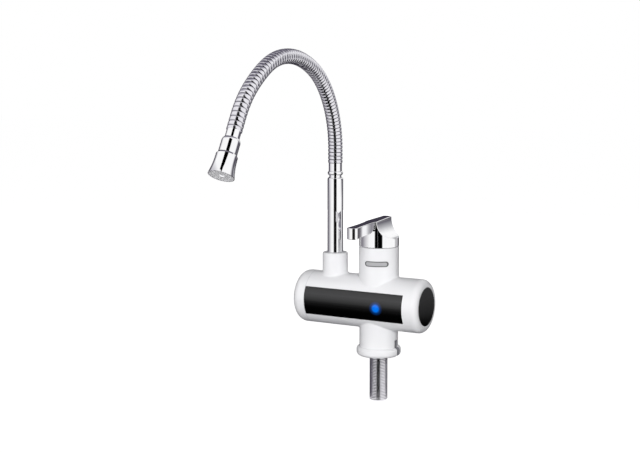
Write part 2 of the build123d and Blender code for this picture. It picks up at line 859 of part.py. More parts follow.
def outlet_fitting():
    """Cup on the tank's boss, in which the spout pipe turns."""
    cup = rod(fitting_r, tank_boss_top_z, fitting_top_z, socket_x)
    nipple_r = tank_boss_r - tank_boss_wall - seat_gap
    cup += rod(nipple_r, tank_boss_top_z - fitting_nipple_l, tank_boss_top_z, socket_x)
    cup -= rod(pipe_seal_bore, fitting_waist_z, fitting_top_z + past, socket_x)
    cup -= rod(fitting_bore_r, tank_boss_top_z - fitting_nipple_l - past, fitting_waist_z + past, socket_x)
    way_x = bypass_start - seat_gap
    cup -= x_rod(bypass_r + seat_gap, way_x, socket_x + 2 * fitting_r, 0, bypass_z)
    return cup - x_rod(bypass_r - way_wall, socket_x, socket_x + 2 * fitting_r, 0, bypass_z)


def spout_pipe():
    pipe = rod(pipe_r, pipe_bottom_z, pipe_top_z, socket_x)
    pipe = fillet(pipe.edges().group_by(Axis.Z)[-1], pipe_shoulder_r)
    pipe -= rod(pipe_tail_bore_r, pipe_bottom_z - past, pipe_top_z + past, socket_x)
    pipe -= rod(pipe_bore_r, pipe_tail_top_z, pipe_top_z + past, socket_x)
    for z in seal_zs:
        half = seal_r + seat_gap
        pipe -= tube(pipe_r + past, seal_groove_r, z - half, z + half, socket_x)
    return pipe - tube(pipe_r + past, clip_groove_r, clip_z - seat_gap, clip_z + clip_t + seat_gap, socket_x)


def spout_seals():
    """Two O-rings in the pipe's grooves."""
    ring = Torus(seal_groove_r + seal_ease + seal_r, seal_r)
    return Compound([Pos(socket_x, 0, z) * ring for z in seal_zs])


def spout_clip():
    """Open ring that keeps the pipe under the lid of the socket."""
    clip_in = clip_groove_r + seat_gap / 2
    ring = tube(clip_in + clip_w, clip_in, clip_z, clip_z + clip_t, socket_x)
    half = math.radians(clip_gap_angle / 2)
    reach = 3 * pipe_r
    mouth = Polygon((0, 0), (-reach * math.sin(half), reach * math.cos(half)),
                    (reach * math.sin(half), reach * math.cos(half)), align=None)
    return ring - Pos(socket_x, 0, clip_z - past) * extrude(mouth, amount=clip_t + 2 * past, dir=(0, 0, 1))


def lower_ferrule():
    """Neck, bead and sleeve between the pipe and the gooseneck, with a tail inside the pipe."""
    bead_low = ferrule_bead_z
    bead_top = ferrule_bead_z + ferrule_bead_h
    bead_mid = (bead_low + bead_top) / 2
    edge = ferrule_bead_r - ferrule_bead_edge
    tail_z = pipe_top_z - ferrule_tail_l
    body = turned(
        line((0, tail_z), (pipe_bore_r - seat_gap, tail_z), (pipe_bore_r - seat_gap, pipe_top_z),
             (ferrule_neck_r, pipe_top_z), (ferrule_neck_r, bead_low), (edge, bead_low)),
        arc((edge, bead_low), (ferrule_bead_r, bead_mid), (edge, bead_top)),
        line((edge, bead_top), (ferrule_r, bead_top), (ferrule_r, ferrule_top_z), (0, ferrule_top_z),
             (0, tail_z)))
    return Pos(socket_x, 0, 0) * (body - rod(ferrule_bore_r, tail_z - past, ferrule_top_z + past))


save("outlet_fitting", outlet_fitting())
save("spout_pipe", spout_pipe())
save("spout_seals", spout_seals())
save("spout_clip", spout_clip())
save("lower_ferrule", lower_ferrule())

# Gooseneck
piece_l = hose_l / hose_pieces
rib_pitch = piece_l / ribs_per_piece
rib_root_half = (rib_pitch - rib_crest_w - 2 * rib_flank_w) / 2
hose_arc_l = (hose_l - 2 * hose_end_l) / len(hose_turns)


def hose_plane(s):
    """Plane square to the gooseneck at a length s from its foot, with its X axis along X."""
    reach = 0.0
    height = ferrule_top_z + min(s, hose_end_l)
    heading = 0.0
    left = s - hose_end_l
    for turn in hose_turns:
        if left <= 0:
            break
        step = min(left, hose_arc_l)
        bend = math.radians(turn) * step / hose_arc_l
        chord = hose_arc_l / math.radians(turn) * 2 * math.sin(bend / 2)
        reach += chord * math.sin(heading + bend / 2)
        height += chord * math.cos(heading + bend / 2)
        heading += bend
        left -= step
    if left > 0:
        reach += left * math.sin(heading)
        height += left * math.cos(heading)
    along = (0, -math.sin(heading), math.cos(heading))
    return Plane(origin=(socket_x, -reach, height), x_dir=(1, 0, 0), z_dir=along)


def hose_loft(stations):
    """Ruled loft through circles at (length, radius) stations."""
    return loft([hose_plane(s) * Circle(r) for s, r in stations], ruled=True)


def rib_stations(start, end, open_start, open_end):
    """Four circles to each rib, with the first or last one cut back at a joint."""
    stations = []
    flank_slope = (rib_r - rib_root_r) / rib_flank_w
    cut_r = rib_root_r + (joint_half_gap - rib_root_half) * flank_slope
    for rib in range(ribs_per_piece):
        foot = start + rib * rib_pitch
        crest = foot + rib_root_half + rib_flank_w
        first = (foot + rib_root_half, rib_root_r)
        last = (crest + rib_crest_w + rib_flank_w, rib_root_r)
        if rib == 0:
            first = (start + joint_half_gap, cut_r) if open_start else (start, rib_root_r)
        if rib == ribs_per_piece - 1:
            last = (end - joint_half_gap, cut_r) if open_end else (end, rib_root_r)
        stations += [first, (crest, rib_r), (crest + rib_crest_w, rib_r), last]
    return stations


def bore_stations(start, end, r):
    """Circles of the bore, one to each rib."""
    return [(start + (end - start) * k / ribs_per_piece, r) for k in range(ribs_per_piece + 1)]


def ball_skirt():
    """Ball-shaped skirt about a joint's centre, which the next piece turns on."""
    low = -joint_half_gap - ball_skirt_root
    low_r = math.sqrt(ball_r ** 2 - low ** 2)
    high_r = math.sqrt(ball_r ** 2 - ball_skirt_l ** 2)
    mid = (low + ball_skirt_l) / 2
    mid_r = math.sqrt(ball_r ** 2 - mid ** 2)
    return turned(
        line((ball_bore_r, low), (low_r, low)),
        arc((low_r, low), (mid_r, mid), (high_r, ball_skirt_l)),
        line((high_r, ball_skirt_l), (ball_bore_r, ball_skirt_l), (ball_bore_r, low)))


def hose_piece(index):
    """One length of ribbed metal sleeve, and its length of inner hose."""
    start = index * piece_l
    end = start + piece_l
    open_start = index > 0
    open_end = index < hose_pieces - 1
    sleeve = hose_loft(rib_stations(start, end, open_start, open_end))
    sleeve -= hose_loft(bore_stations(start, end, hose_bore_r))
    if open_start:
        sleeve -= hose_plane(start).location * Sphere(ball_r + body_gap)
    if open_end:
        sleeve += hose_plane(end).location * ball_skirt()
    liner_start = start + (liner_half_gap if open_start else 0)
    liner_end = end - (liner_half_gap if open_end else 0)
    liner = hose_loft(bore_stations(liner_start, liner_end, liner_r))
    liner -= hose_loft(bore_stations(liner_start, liner_end, liner_bore_r))
    return Compound([sleeve.solid(), liner.solid()])


for index in range(hose_pieces):
    save(f"gooseneck_{index + 1:02d}", hose_piece(index))

# Nozzle
nozzle_place = hose_plane(hose_l).location
shoulder_t = collar_l + nozzle_shoulder_l
spigot_end_t = nozzle_joint_t + nozzle_spigot_l
hub_end_t = nozzle_joint_t + bell_hub_l
clip_t0 = hub_end_t + body_gap
bell_mouth_r = bell_rim_r - bell_wall / 2
spray_t0 = bell_end_t - spray_sink - spray_t


def upper_ferrule():
    body = rod(collar_r, 0, collar_l)
    body += rod(collar_thread_r, collar_l, collar_l + collar_thread_l)
    return body - rod(liner_bore_r, -past, collar_l + collar_thread_l + past)


def nozzle_body():
    edge = (collar_r + nozzle_shoulder_foot, collar_l)
    middle = (nozzle_r - nozzle_shoulder_bulge, collar_l + nozzle_shoulder_l / 3)
    body = turned(
        line((0, collar_l), edge),
        arc(edge, middle, (nozzle_r, shoulder_t)),
        line((nozzle_r, shoulder_t), (nozzle_r, nozzle_joint_t), (nozzle_spigot_r, nozzle_joint_t),
             (nozzle_spigot_r, spigot_end_t), (0, spigot_end_t), (0, collar_l)))
    body -= rod(collar_thread_r + seat_gap, collar_l - past, collar_l + collar_thread_l + seat_gap)
    body -= rod(nozzle_bore_r, collar_l, spigot_end_t + past)
    return body - tube(nozzle_r, ring_groove_r, clip_t0 - seat_gap, clip_t0 + ring_t + seat_gap)


def nozzle_bell():
    """Flared bell that turns on the nozzle's spigot."""
    top = nozzle_joint_t + body_gap
    step_t = nozzle_joint_t + bell_step_l
    mid_t = (step_t + bell_end_t) / 2
    mid_r = (bell_top_r + bell_rim_r) / 2 - bell_hollow
    hub_bore_r = nozzle_spigot_r + running_gap
    inner_r = bell_top_r - bell_wall
    return turned(
        line((hub_bore_r, top), (nozzle_r, top), (bell_top_r, step_t)),
        arc((bell_top_r, step_t), (mid_r, mid_t), (bell_rim_r, bell_end_t)),
        line((bell_rim_r, bell_end_t), (bell_mouth_r, bell_end_t), (bell_mouth_r, spray_t0),
             (bell_mouth_r - bell_seat, spray_t0), (inner_r, hub_end_t + bell_hub_foot),
             (inner_r, hub_end_t), (hub_bore_r, hub_end_t), (hub_bore_r, top)))


def nozzle_ring():
    """Ring in the spigot's groove, which keeps the bell on."""
    return tube(ring_r, ring_groove_r + seat_gap, clip_t0, clip_t0 + ring_t)


def spray_plate():
    """Disc in the bell's mouth, with a ring of fine holes round a sunk centre."""
    plate = rod(bell_mouth_r - seat_gap, spray_t0, spray_t0 + spray_t)
    plate -= rod(spray_centre_r, spray_t0 + spray_t / 2, spray_t0 + spray_t + past)
    for k in range(spray_holes):
        turn = 2 * math.pi * k / spray_holes
        plate -= rod(spray_hole_r, spray_t0 - past, spray_t0 + spray_t + past,
                     spray_pitch_r * math.cos(turn), spray_pitch_r * math.sin(turn))
    return plate


save("upper_ferrule", nozzle_place * upper_ferrule())
save("nozzle_body", nozzle_place * nozzle_body())
save("nozzle_bell", nozzle_place * nozzle_bell())
save("nozzle_ring", nozzle_place * nozzle_ring())
save("spray_plate", nozzle_place * spray_plate())
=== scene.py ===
import json
import math

import bmesh
import bpy
import numpy as np
from bpy.props import FloatProperty, FloatVectorProperty, IntProperty, PointerProperty
from bpy.types import Operator, Panel, PropertyGroup
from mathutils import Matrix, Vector


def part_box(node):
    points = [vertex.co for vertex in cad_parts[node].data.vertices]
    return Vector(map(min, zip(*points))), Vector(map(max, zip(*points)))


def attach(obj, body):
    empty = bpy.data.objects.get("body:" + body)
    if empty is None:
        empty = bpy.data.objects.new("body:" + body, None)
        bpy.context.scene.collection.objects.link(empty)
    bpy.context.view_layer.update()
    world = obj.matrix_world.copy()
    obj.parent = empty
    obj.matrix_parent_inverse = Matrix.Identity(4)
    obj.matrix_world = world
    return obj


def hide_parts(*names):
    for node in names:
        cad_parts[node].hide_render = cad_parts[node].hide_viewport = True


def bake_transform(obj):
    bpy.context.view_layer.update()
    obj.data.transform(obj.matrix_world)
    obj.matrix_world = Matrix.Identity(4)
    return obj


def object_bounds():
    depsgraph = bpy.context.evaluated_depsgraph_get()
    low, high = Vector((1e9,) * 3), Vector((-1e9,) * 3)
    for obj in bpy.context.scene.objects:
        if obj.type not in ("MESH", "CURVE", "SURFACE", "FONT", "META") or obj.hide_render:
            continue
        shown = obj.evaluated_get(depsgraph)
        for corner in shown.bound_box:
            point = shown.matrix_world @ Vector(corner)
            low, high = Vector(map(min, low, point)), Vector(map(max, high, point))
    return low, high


bl_info = {
    "name": "Instant water heater tap",
    "version": (1, 0, 0),
    "blender": (4, 5, 0),
    "location": "View3D > Sidebar > Heater Tap",
    "description": "Dresses the packed heater tap with its sleeve, thread, handle, finishes and studio",
    "category": "Object",
}

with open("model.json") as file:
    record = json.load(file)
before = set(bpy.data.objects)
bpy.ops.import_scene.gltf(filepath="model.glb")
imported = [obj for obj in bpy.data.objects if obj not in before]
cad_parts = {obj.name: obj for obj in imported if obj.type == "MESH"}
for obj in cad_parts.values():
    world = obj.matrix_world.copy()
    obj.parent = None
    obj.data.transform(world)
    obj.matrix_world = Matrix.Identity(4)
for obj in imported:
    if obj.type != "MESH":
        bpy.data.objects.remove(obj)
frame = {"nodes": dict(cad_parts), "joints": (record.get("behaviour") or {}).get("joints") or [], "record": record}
CAD_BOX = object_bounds()
MM = 0.001


def joint_point(name):
    """Rest point of a packed joint, in metres."""
    for joint in frame["joints"]:
        if joint["name"] == name:
            return Vector(joint["pos_m"])
    raise RuntimeError("the packed model has no joint named " + name)


# Sizes and colours that a user would change
class TapShellSettings(PropertyGroup):
    """Mouldings of the heater barrel, neck and spout socket"""

    white: FloatVectorProperty(
        name="Shell white", description="Colour of the glossy white mouldings",
        subtype="COLOR", size=3, min=0, max=1, default=(0.80, 0.80, 0.815))
    black: FloatVectorProperty(
        name="Panel black", description="Colour of the front panel and the end disc",
        subtype="COLOR", size=3, min=0, max=1, default=(0.045, 0.045, 0.046))
    lamp: FloatVectorProperty(
        name="Indicator blue", description="Colour of the lit indicator",
        subtype="COLOR", size=3, min=0, max=1, default=(0.0, 0.156, 0.79))
    plate: FloatVectorProperty(
        name="Plate grey", description="Colour of the blank plate on the neck",
        subtype="COLOR", size=3, min=0, max=1, default=(0.4, 0.4, 0.41))


class TapMetalSettings(PropertyGroup):
    """Chromed and ribbed metal pieces"""

    chrome: FloatVectorProperty(
        name="Chrome", description="Colour of the chrome plate",
        subtype="COLOR", size=3, min=0, max=1, default=(0.95, 0.95, 0.96))
    sleeve: FloatVectorProperty(
        name="Sleeve steel", description="Colour of the gooseneck's crests",
        subtype="COLOR", size=3, min=0, max=1, default=(0.8, 0.79, 0.835))
    crest_radius: FloatProperty(
        name="Crest radius", description="Radius of the gooseneck over its ribs",
        unit="LENGTH", default=8.45 * MM)
    groove_radius: FloatProperty(
        name="Groove radius", description="Radius of the gooseneck in its grooves",
        unit="LENGTH", default=7.35 * MM)
    end_pitch: FloatProperty(
        name="Drawn pitch", description="Rib pitch where the gooseneck is drawn out towards the nozzle",
        unit="LENGTH", default=5.2 * MM)
    sleeve_sides: IntProperty(
        name="Sleeve sides", description="Faces round the gooseneck", min=16, max=96, default=64)
    rib_rings: IntProperty(
        name="Rings per rib", description="Rings of faces along one rib", min=6, max=20, default=14)
    handle_edge: FloatProperty(
        name="Handle edges", description="Radius of the handle's rounded edges",
        unit="LENGTH", default=0.7 * MM)
    thread_pitch: FloatProperty(
        name="Thread pitch", description="Rise of the inlet thread in one turn",
        unit="LENGTH", default=1.814 * MM)


class TapStageSettings(PropertyGroup):
    """Floor, light and camera"""

    key_power: FloatProperty(
        name="Key light", description="Power of the large soft light in front",
        unit="POWER", default=30.0)
    back_power: FloatProperty(
        name="Back light", description="Power of the large soft light behind",
        unit="POWER", default=16.0)
    top_power: FloatProperty(
        name="Top light", description="Power of the soft light overhead",
        unit="POWER", default=0.5)
    world_light: FloatProperty(
        name="Room light", description="Strength of the room's own light on the object",
        min=0, max=2, default=0.85)
    lens: FloatProperty(
        name="Lens", description="Focal length of the camera",
        unit="CAMERA", default=68.949)


# Node helpers
def plug(tree, node, inputs):
    """Set a node's inputs to values, or link them to sockets, by name or number."""
    for key, value in inputs.items():
        if isinstance(value, bpy.types.NodeSocket):
            tree.links.new(value, node.inputs[key])
        else:
            node.inputs[key].default_value = value


def add_node(tree, kind, inputs=None, **settings):
    """New node with its settings and inputs."""
    made = tree.nodes.new(kind)
    for name, value in settings.items():
        setattr(made, name, value)
    plug(tree, made, inputs or {})
    return made


def value_of(tree, kind, inputs=None, **settings):
    """First output of a new node."""
    return add_node(tree, kind, inputs, **settings).outputs[0]


def bare_material(name):
    """New material with an empty tree; returns the material and its tree."""
    made = bpy.data.materials.new(name)
    made.use_nodes = True
    made.node_tree.nodes.clear()
    return made, made.node_tree


def blank_material(name, roughness, metallic=0.0):
    """New material with a Principled shader; returns the material, its tree and the shader."""
    made = bpy.data.materials.new(name)
    made.use_nodes = True
    tree = made.node_tree
    shader = tree.nodes["Principled BSDF"]
    plug(tree, shader, {"Roughness": roughness, "Metallic": metallic})
    return made, tree, shader


def mapped(tree, centre=(0, 0, 0), scale=(1, 1, 1), turn=(0, 0, 0)):
    """Object coordinates measured from a centre, in metres."""
    place = add_node(tree, "ShaderNodeTexCoord").outputs["Object"]
    inputs = {"Vector": place, "Location": centre, "Rotation": turn, "Scale": scale}
    return value_of(tree, "ShaderNodeMapping", inputs, vector_type="TEXTURE")


def axes_of(tree, vector):
    """X, Y and Z of a vector."""
    return add_node(tree, "ShaderNodeSeparateXYZ", {0: vector}).outputs


SIGNS = {"+": "ADD", "-": "SUBTRACT", "*": "MULTIPLY", "/": "DIVIDE"}


def sums(tree):
    """Function that adds a Math node over one or two values or sockets and gives its result."""

    def maths(sign, *values):
        return value_of(tree, "ShaderNodeMath", dict(enumerate(values)), operation=SIGNS.get(sign, sign))

    return maths


def noise(tree, vector, scale, detail=3.0):
    """Noise value over a vector."""
    return value_of(tree, "ShaderNodeTexNoise", {"Vector": vector, "Scale": scale, "Detail": detail})


def ramp(tree, value, stops):
    """Colour ramp over a value; stops are (place, colour)."""
    node = add_node(tree, "ShaderNodeValToRGB", {"Fac": value})
    element = node.color_ramp.elements
    while len(element) < len(stops):
        element.new(0.5)
    for slot, (place, colour) in zip(element, stops):
        slot.position = place
        slot.color = (*colour, 1.0)
    return node.outputs["Color"]


def mixed(tree, share, first, second, blend="MIX"):
    """Two colours blended by a share."""
    inputs = {"Factor": share, 6: first, 7: second}
    return add_node(tree, "ShaderNodeMix", inputs, data_type="RGBA", blend_type=blend).outputs[2]


def between(tree, value, low, high):
    """Value spread over the range low to high."""
    return value_of(tree, "ShaderNodeMapRange", {"Value": value, "To Min": low, "To Max": high})


def bump(tree, height, distance):
    """Bump normal from a height."""
    return value_of(tree, "ShaderNodeBump", {"Height": height, "Distance": distance, "Strength": 1.0})


def tints(colour, *shares):
    """Stops of a colour ramp in tints of one colour; shares are (place, share of the colour)."""
    return [(place, tuple(min(1.0, max(0.0, c * share)) for c in colour)) for place, share in shares]


# Marks and painted shade on the shell, in millimetres
PLATE_R = 23.4
PLATE_W = 27.4
PLATE_H = 6.2
SEAM_X = -83.3
SEAM_HALF_W = 0.3
NOTCH_HALF_W = 3.53
NOTCH_TOP_Z = 19.53
NOTCH_INNER_X = 17.0

# Finishes
SEAM_STOPS = ((0.0, (0.6, 0.6, 0.62)), (0.5, (0.82, 0.82, 0.83)), (1.0, (1, 1, 1)))
# Painted shadow on the walls of the cable notch
NOTCH_PAINTED_SHADOW = (0.3, 0.3, 0.32, 1.0)


def black_gloss_painted_light(name, colour, foot, top, stops):
    """Smoked black gloss with fine polishing haze, and painted reflection and shade by height; stops are (share of
    the height, share of the colour).
    """
    made, tree, shader = blank_material(name, 0.07)
    vector = mapped(tree)
    height = axes_of(tree, mapped(tree, (0, 0, foot), (1, 1, top - foot)))[2]
    haze = noise(tree, vector, 700.0, 5.0)
    wave = noise(tree, vector, 30.0, 1.0)
    # Base colour painted lighter and darker by height: painted reflection and shade
    plug(tree, shader, {
        "Base Color": ramp(tree, height, tints(colour, *stops)), "Roughness": between(tree, haze, 0.05, 0.1),
        "Normal": bump(tree, wave, 0.00001), "Specular IOR Level": 0.12})
    return made


def notch_painted_shade(tree, colour):
    """Colour with painted shade on the walls of the cable notch, darker and greyer there."""
    x, y, z = axes_of(tree, mapped(tree))
    maths = sums(tree)
    across = maths("LESS_THAN", maths("ABSOLUTE", y), NOTCH_HALF_W * MM)
    below = maths("LESS_THAN", z, NOTCH_TOP_Z * MM)
    beyond = maths("GREATER_THAN", x, NOTCH_INNER_X * MM)
    inside = maths("*", across, maths("*", below, beyond))
    return mixed(tree, inside, colour, NOTCH_PAINTED_SHADOW)


def gloss_moulding(name, colour, roughness):
    """Glossy moulding: faint clouding, a seam at the end cap, painted shade in the cable notch, fine grain and a
    slightly wavy gloss.
    """
    made, tree, shader = blank_material(name, roughness)
    vector = mapped(tree)
    cloud = noise(tree, vector, 22.0, 2.0)
    shade = ramp(tree, cloud, tints(colour, (0.3, 0.985), (0.7, 1.012)))
    off_seam = axes_of(tree, mapped(tree, (SEAM_X * MM, 0, 0), (SEAM_HALF_W * MM, 1, 1)))[0]
    # The seam line, and painted shade on the walls of the cable notch
    seam_and_notch_shade = notch_painted_shade(tree, ramp(tree, sums(tree)("ABSOLUTE", off_seam), SEAM_STOPS))
    grain = noise(tree, vector, 900.0, 4.0)
    wave = noise(tree, vector, 28.0, 1.0)
    plug(tree, shader, {
        "Base Color": mixed(tree, 1.0, shade, seam_and_notch_shade, "MULTIPLY"),
        "Roughness": between(tree, grain, roughness * 0.85, roughness * 1.2),
        "Normal": bump(tree, wave, 0.00004), "IOR": 1.5})
    return made


def chrome_finish(colour):
    """Chrome of all the plated pieces, made once: small changes in polish and a little waviness."""
    name = "polished_chrome"
    if name in bpy.data.materials:
        return bpy.data.materials[name]
    roughness = 0.04
    made, tree, shader = blank_material(name, roughness, 1.0)
    vector = mapped(tree)
    cloud = noise(tree, vector, 60.0, 3.0)
    polish = noise(tree, vector, 260.0, 5.0)
    wave = noise(tree, vector, 45.0, 1.0)
    plug(tree, shader, {
        "Base Color": ramp(tree, cloud, tints(colour, (0.25, 0.97), (0.75, 1.02))),
        "Roughness": between(tree, polish, roughness * 0.7, roughness * 1.5),
        "Normal": bump(tree, wave, 0.00001)})
    return made


def grained(name, colour, roughness, grain_scale, depth, metallic=0.0):
    """Plain moulded, cast or drawn surface with a grain of its own."""
    made, tree, shader = blank_material(name, roughness, metallic)
    grain = noise(tree, mapped(tree), grain_scale, 5.0)
    plug(tree, shader, {
        "Base Color": ramp(tree, grain, tints(colour, (0.3, 0.85), (0.7, 1.1))),
        "Roughness": between(tree, grain, roughness * 0.8, roughness * 1.2),
        "Normal": bump(tree, grain, depth)})
    return made


def worn_metal_painted_shade(name, attribute, stops, wear_scale, low, high):
    """Bright metal with shade painted from an attribute of its mesh, its polish worn a little between low and
    high.
    """
    made, tree, shader = blank_material(name, (low + high) / 2, 1.0)
    height = add_node(tree, "ShaderNodeAttribute", attribute_name=attribute).outputs["Fac"]
    wear = noise(tree, mapped(tree), wear_scale, 4.0)
    # Colour by the attribute: painted shade, darker in the grooves
    plug(tree, shader, {
        "Base Color": ramp(tree, height, stops), "Roughness": between(tree, wear, low, high),
        "Normal": bump(tree, wear, 0.00001)})
    return made


# Pieces inside the tap, by slot: colour, roughness, scale of the grain, its depth in metres, metal
INNER_FINISHES = {
    "plated_steel": ((0.6, 0.6, 0.6), 0.32, 1400.0, 0.00002, 1.0),
    "black_rubber": ((0.018, 0.018, 0.019), 0.75, 1800.0, 0.00004, 0.0),
    "brass": ((0.72, 0.52, 0.22), 0.28, 1200.0, 0.00002, 1.0),
    "white_ceramic": ((0.86, 0.85, 0.82), 0.22, 2200.0, 0.00001, 0.0),
    "stainless_steel": ((0.62, 0.62, 0.63), 0.26, 900.0, 0.00002, 1.0),
    "inner_plastic": ((0.16, 0.16, 0.17), 0.5, 1500.0, 0.00004, 0.0),
    "green_board": ((0.02, 0.2, 0.07), 0.35, 700.0, 0.00003, 0.0),
    "blue_lens": ((0.02, 0.18, 0.85), 0.15, 600.0, 0.00001, 0.0),
}


def finish_of_slot(slot):
    """Material of a slot for the pieces inside the tap, made once; steel for a slot that isn't listed."""
    if slot not in INNER_FINISHES:
        slot = "plated_steel"
    name = slot + "_inside"
    if name in bpy.data.materials:
        return bpy.data.materials[name]
    return grained(name, *INNER_FINISHES[slot])


DRESSED = set()


def dress(node, material):
    """Give a CAD node's object one material."""
    DRESSED.add(node)
    slots = frame["nodes"][node].data.materials
    slots.clear()
    slots.append(material)


# Mesh helpers
def new_object(name, data):
    """New object in the scene."""
    made = bpy.data.objects.new(name, data)
    bpy.context.scene.collection.objects.link(made)
    return made


def mesh_object(name, points, faces, smooth=True):
    """New object from points in metres and faces."""
    mesh = bpy.data.meshes.new(name)
    mesh.from_pydata(points, [], faces)
    mesh.validate()
    if smooth:
        mesh.polygons.foreach_set("use_smooth", [True] * len(mesh.polygons))
    return new_object(name, mesh)


def frozen(obj):
    """Plain mesh object in the place of an object and its modifiers."""
    mesh = bpy.data.meshes.new_from_object(obj.evaluated_get(bpy.context.evaluated_depsgraph_get()))
    name = mesh.name = obj.name
    bpy.data.objects.remove(obj)
    return new_object(name, mesh)


# Gooseneck, in millimetres along its path from the ferrule; turns in degrees
SPOUT_X = joint_point("spout_swivel").x / MM
FERRULE_TOP_Z = 222.8
HOSE_L = 329.0
HOSE_END_L = 17.0
HOSE_TURNS = (19, 19, 23, 17, 19, 22, 12, 20)
HOSE_PIECES = 11
RIBS_PER_PIECE = 7
PIECE_L = HOSE_L / HOSE_PIECES
RIB_PITCH = PIECE_L / RIBS_PER_PIECE
HOSE_ARC_L = (HOSE_L - 2 * HOSE_END_L) / len(HOSE_TURNS)
STRETCH_START = 140.0
STRETCH_L = 80.0
HINGE_SLACK = 0.3
POINTS_PER_RING = 4
CREST_FLATNESS = 4.2
GROOVE_SHARPNESS = 0.55

# Joints, counted from the pipe, whose ends are taken far body first; that body is steady at all limits together
TURNED_BLENDS = (9,)


def hose_at(s):
    """Point on the gooseneck's middle line at a length s from its foot, and its heading from upright."""
    reach = 0.0
    height = FERRULE_TOP_Z + min(s, HOSE_END_L)
    heading = 0.0
    left = s - HOSE_END_L
    for turn in HOSE_TURNS:
        if left <= 0:
            break
        step = min(left, HOSE_ARC_L)
        bend = math.radians(turn) * step / HOSE_ARC_L
        chord = HOSE_ARC_L / math.radians(turn) * 2 * math.sin(bend / 2)
        reach += chord * math.sin(heading + bend / 2)
        height += chord * math.cos(heading + bend / 2)
        heading += bend
        left -= step
    if left > 0:
        reach += left * math.sin(heading)
        height += left * math.cos(heading)
    return Vector((SPOUT_X, -reach, height)) * MM, heading


def turned_piece(name, outline, sides):
    """Ring turned about Z from a closed (radius, height) outline in millimetres, its normals outward."""
    angles = [2 * math.pi * k / sides for k in range(sides)]
    points = [(r * MM * math.cos(a), r * MM * math.sin(a), z * MM) for r, z in outline for a in angles]
    faces = []
    for row in range(len(outline)):
        low = row * sides
        high = (row + 1) % len(outline) * sides
        for k in range(sides):
            n = (k + 1) % sides
            faces.append((low + k, low + n, high + n, high + k))
    made = mesh_object(name, points, faces)
    outward(made)
    return made


def outward(obj):
    """Turn all faces of a closed mesh outwards."""
    work = bmesh.new()
    work.from_mesh(obj.data)
    bmesh.ops.recalc_face_normals(work, faces=work.faces)
    if work.calc_volume(signed=True) < 0:
        bmesh.ops.reverse_faces(work, faces=work.faces)
    work.to_mesh(obj.data)
    work.free()


def keep_edges(obj, degrees):
    """Shade smooth, with edges above an angle kept crisp."""
    obj.data.polygons.foreach_set("use_smooth", [True] * len(obj.data.polygons))
    obj.data.set_sharp_from_angle(angle=math.radians(degrees))


# Shell; the stops of the black pieces are painted reflection and shade by height: (share of the height, share of
# the black)
DISC_PAINTED_LIGHT = ((0.0, 0.01), (0.2, 0.03), (0.5, 0.35), (0.72, 0.6), (1.0, 0.7))
PANEL_PAINTED_LIGHT = (
    (0.0, 0.01), (0.28, 0.02), (0.42, 0.12), (0.55, 0.42), (0.68, 0.9), (0.78, 1.15), (0.9, 1.0), (1.0, 0.8))
# Reach of the painted glow on the panel round the indicator; then the lit lens
PAINTED_GLOW_REACH = 0.0085
LENS_REACH = 0.0038
LENS_CORE = (0.005, 0.175, 0.84)


class TAP_OT_shell(Operator):
    """Finish the white mouldings, the end disc and the blank plate"""

    bl_idname = "tap.shell"
    bl_label = "Shell"

    def execute(self, context):
        shell = context.scene.tap_shell
        white = gloss_moulding("white_gloss_shell", shell.white, 0.16)
        dress("main_housing", white)
        dress("left_end_cap", white)
        low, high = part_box("right_end_disc")
        dress("right_end_disc", black_gloss_painted_light("black_end_disc", shell.black, low.z, high.z, DISC_PAINTED_LIGHT))
        dress("name_plate", self.rimmed_plate(shell.plate))
        return {"FINISHED"}

    def rimmed_plate(self, colour):
        """Satin plate, darker in the rim round its edge."""
        made, tree, shader = blank_material("blank_plate", 0.35)
        low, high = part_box("name_plate")
        middle = (low + high) / 2
        turn = math.atan2(middle.y, middle.x) + math.pi / 2
        x, y, z = axes_of(tree, mapped(tree, (0, 0, middle.z), turn=(0, 0, turn)))
        maths = sums(tree)
        around = maths("*", maths("ARCTAN2", x, maths("*", y, -1)), PLATE_R * MM)
        past = maths("MAXIMUM", maths("-", maths("ABSOLUTE", around), (PLATE_W - PLATE_H) / 2 * MM), 0)
        reach = maths("SQRT", maths("+", maths("*", past, past), maths("*", z, z)))
        share = maths("/", reach, PLATE_H / 2 * MM)
        satin = noise(tree, mapped(tree), 1500.0, 5.0)
        plug(tree, shader, {
            "Base Color": ramp(tree, share, tints(colour, (0.0, 1.0), (0.62, 0.95), (0.78, 0.2), (1.0, 0.2))),
            "Roughness": between(tree, satin, 0.28, 0.4), "Normal": bump(tree, satin, 0.000006)})
        return made


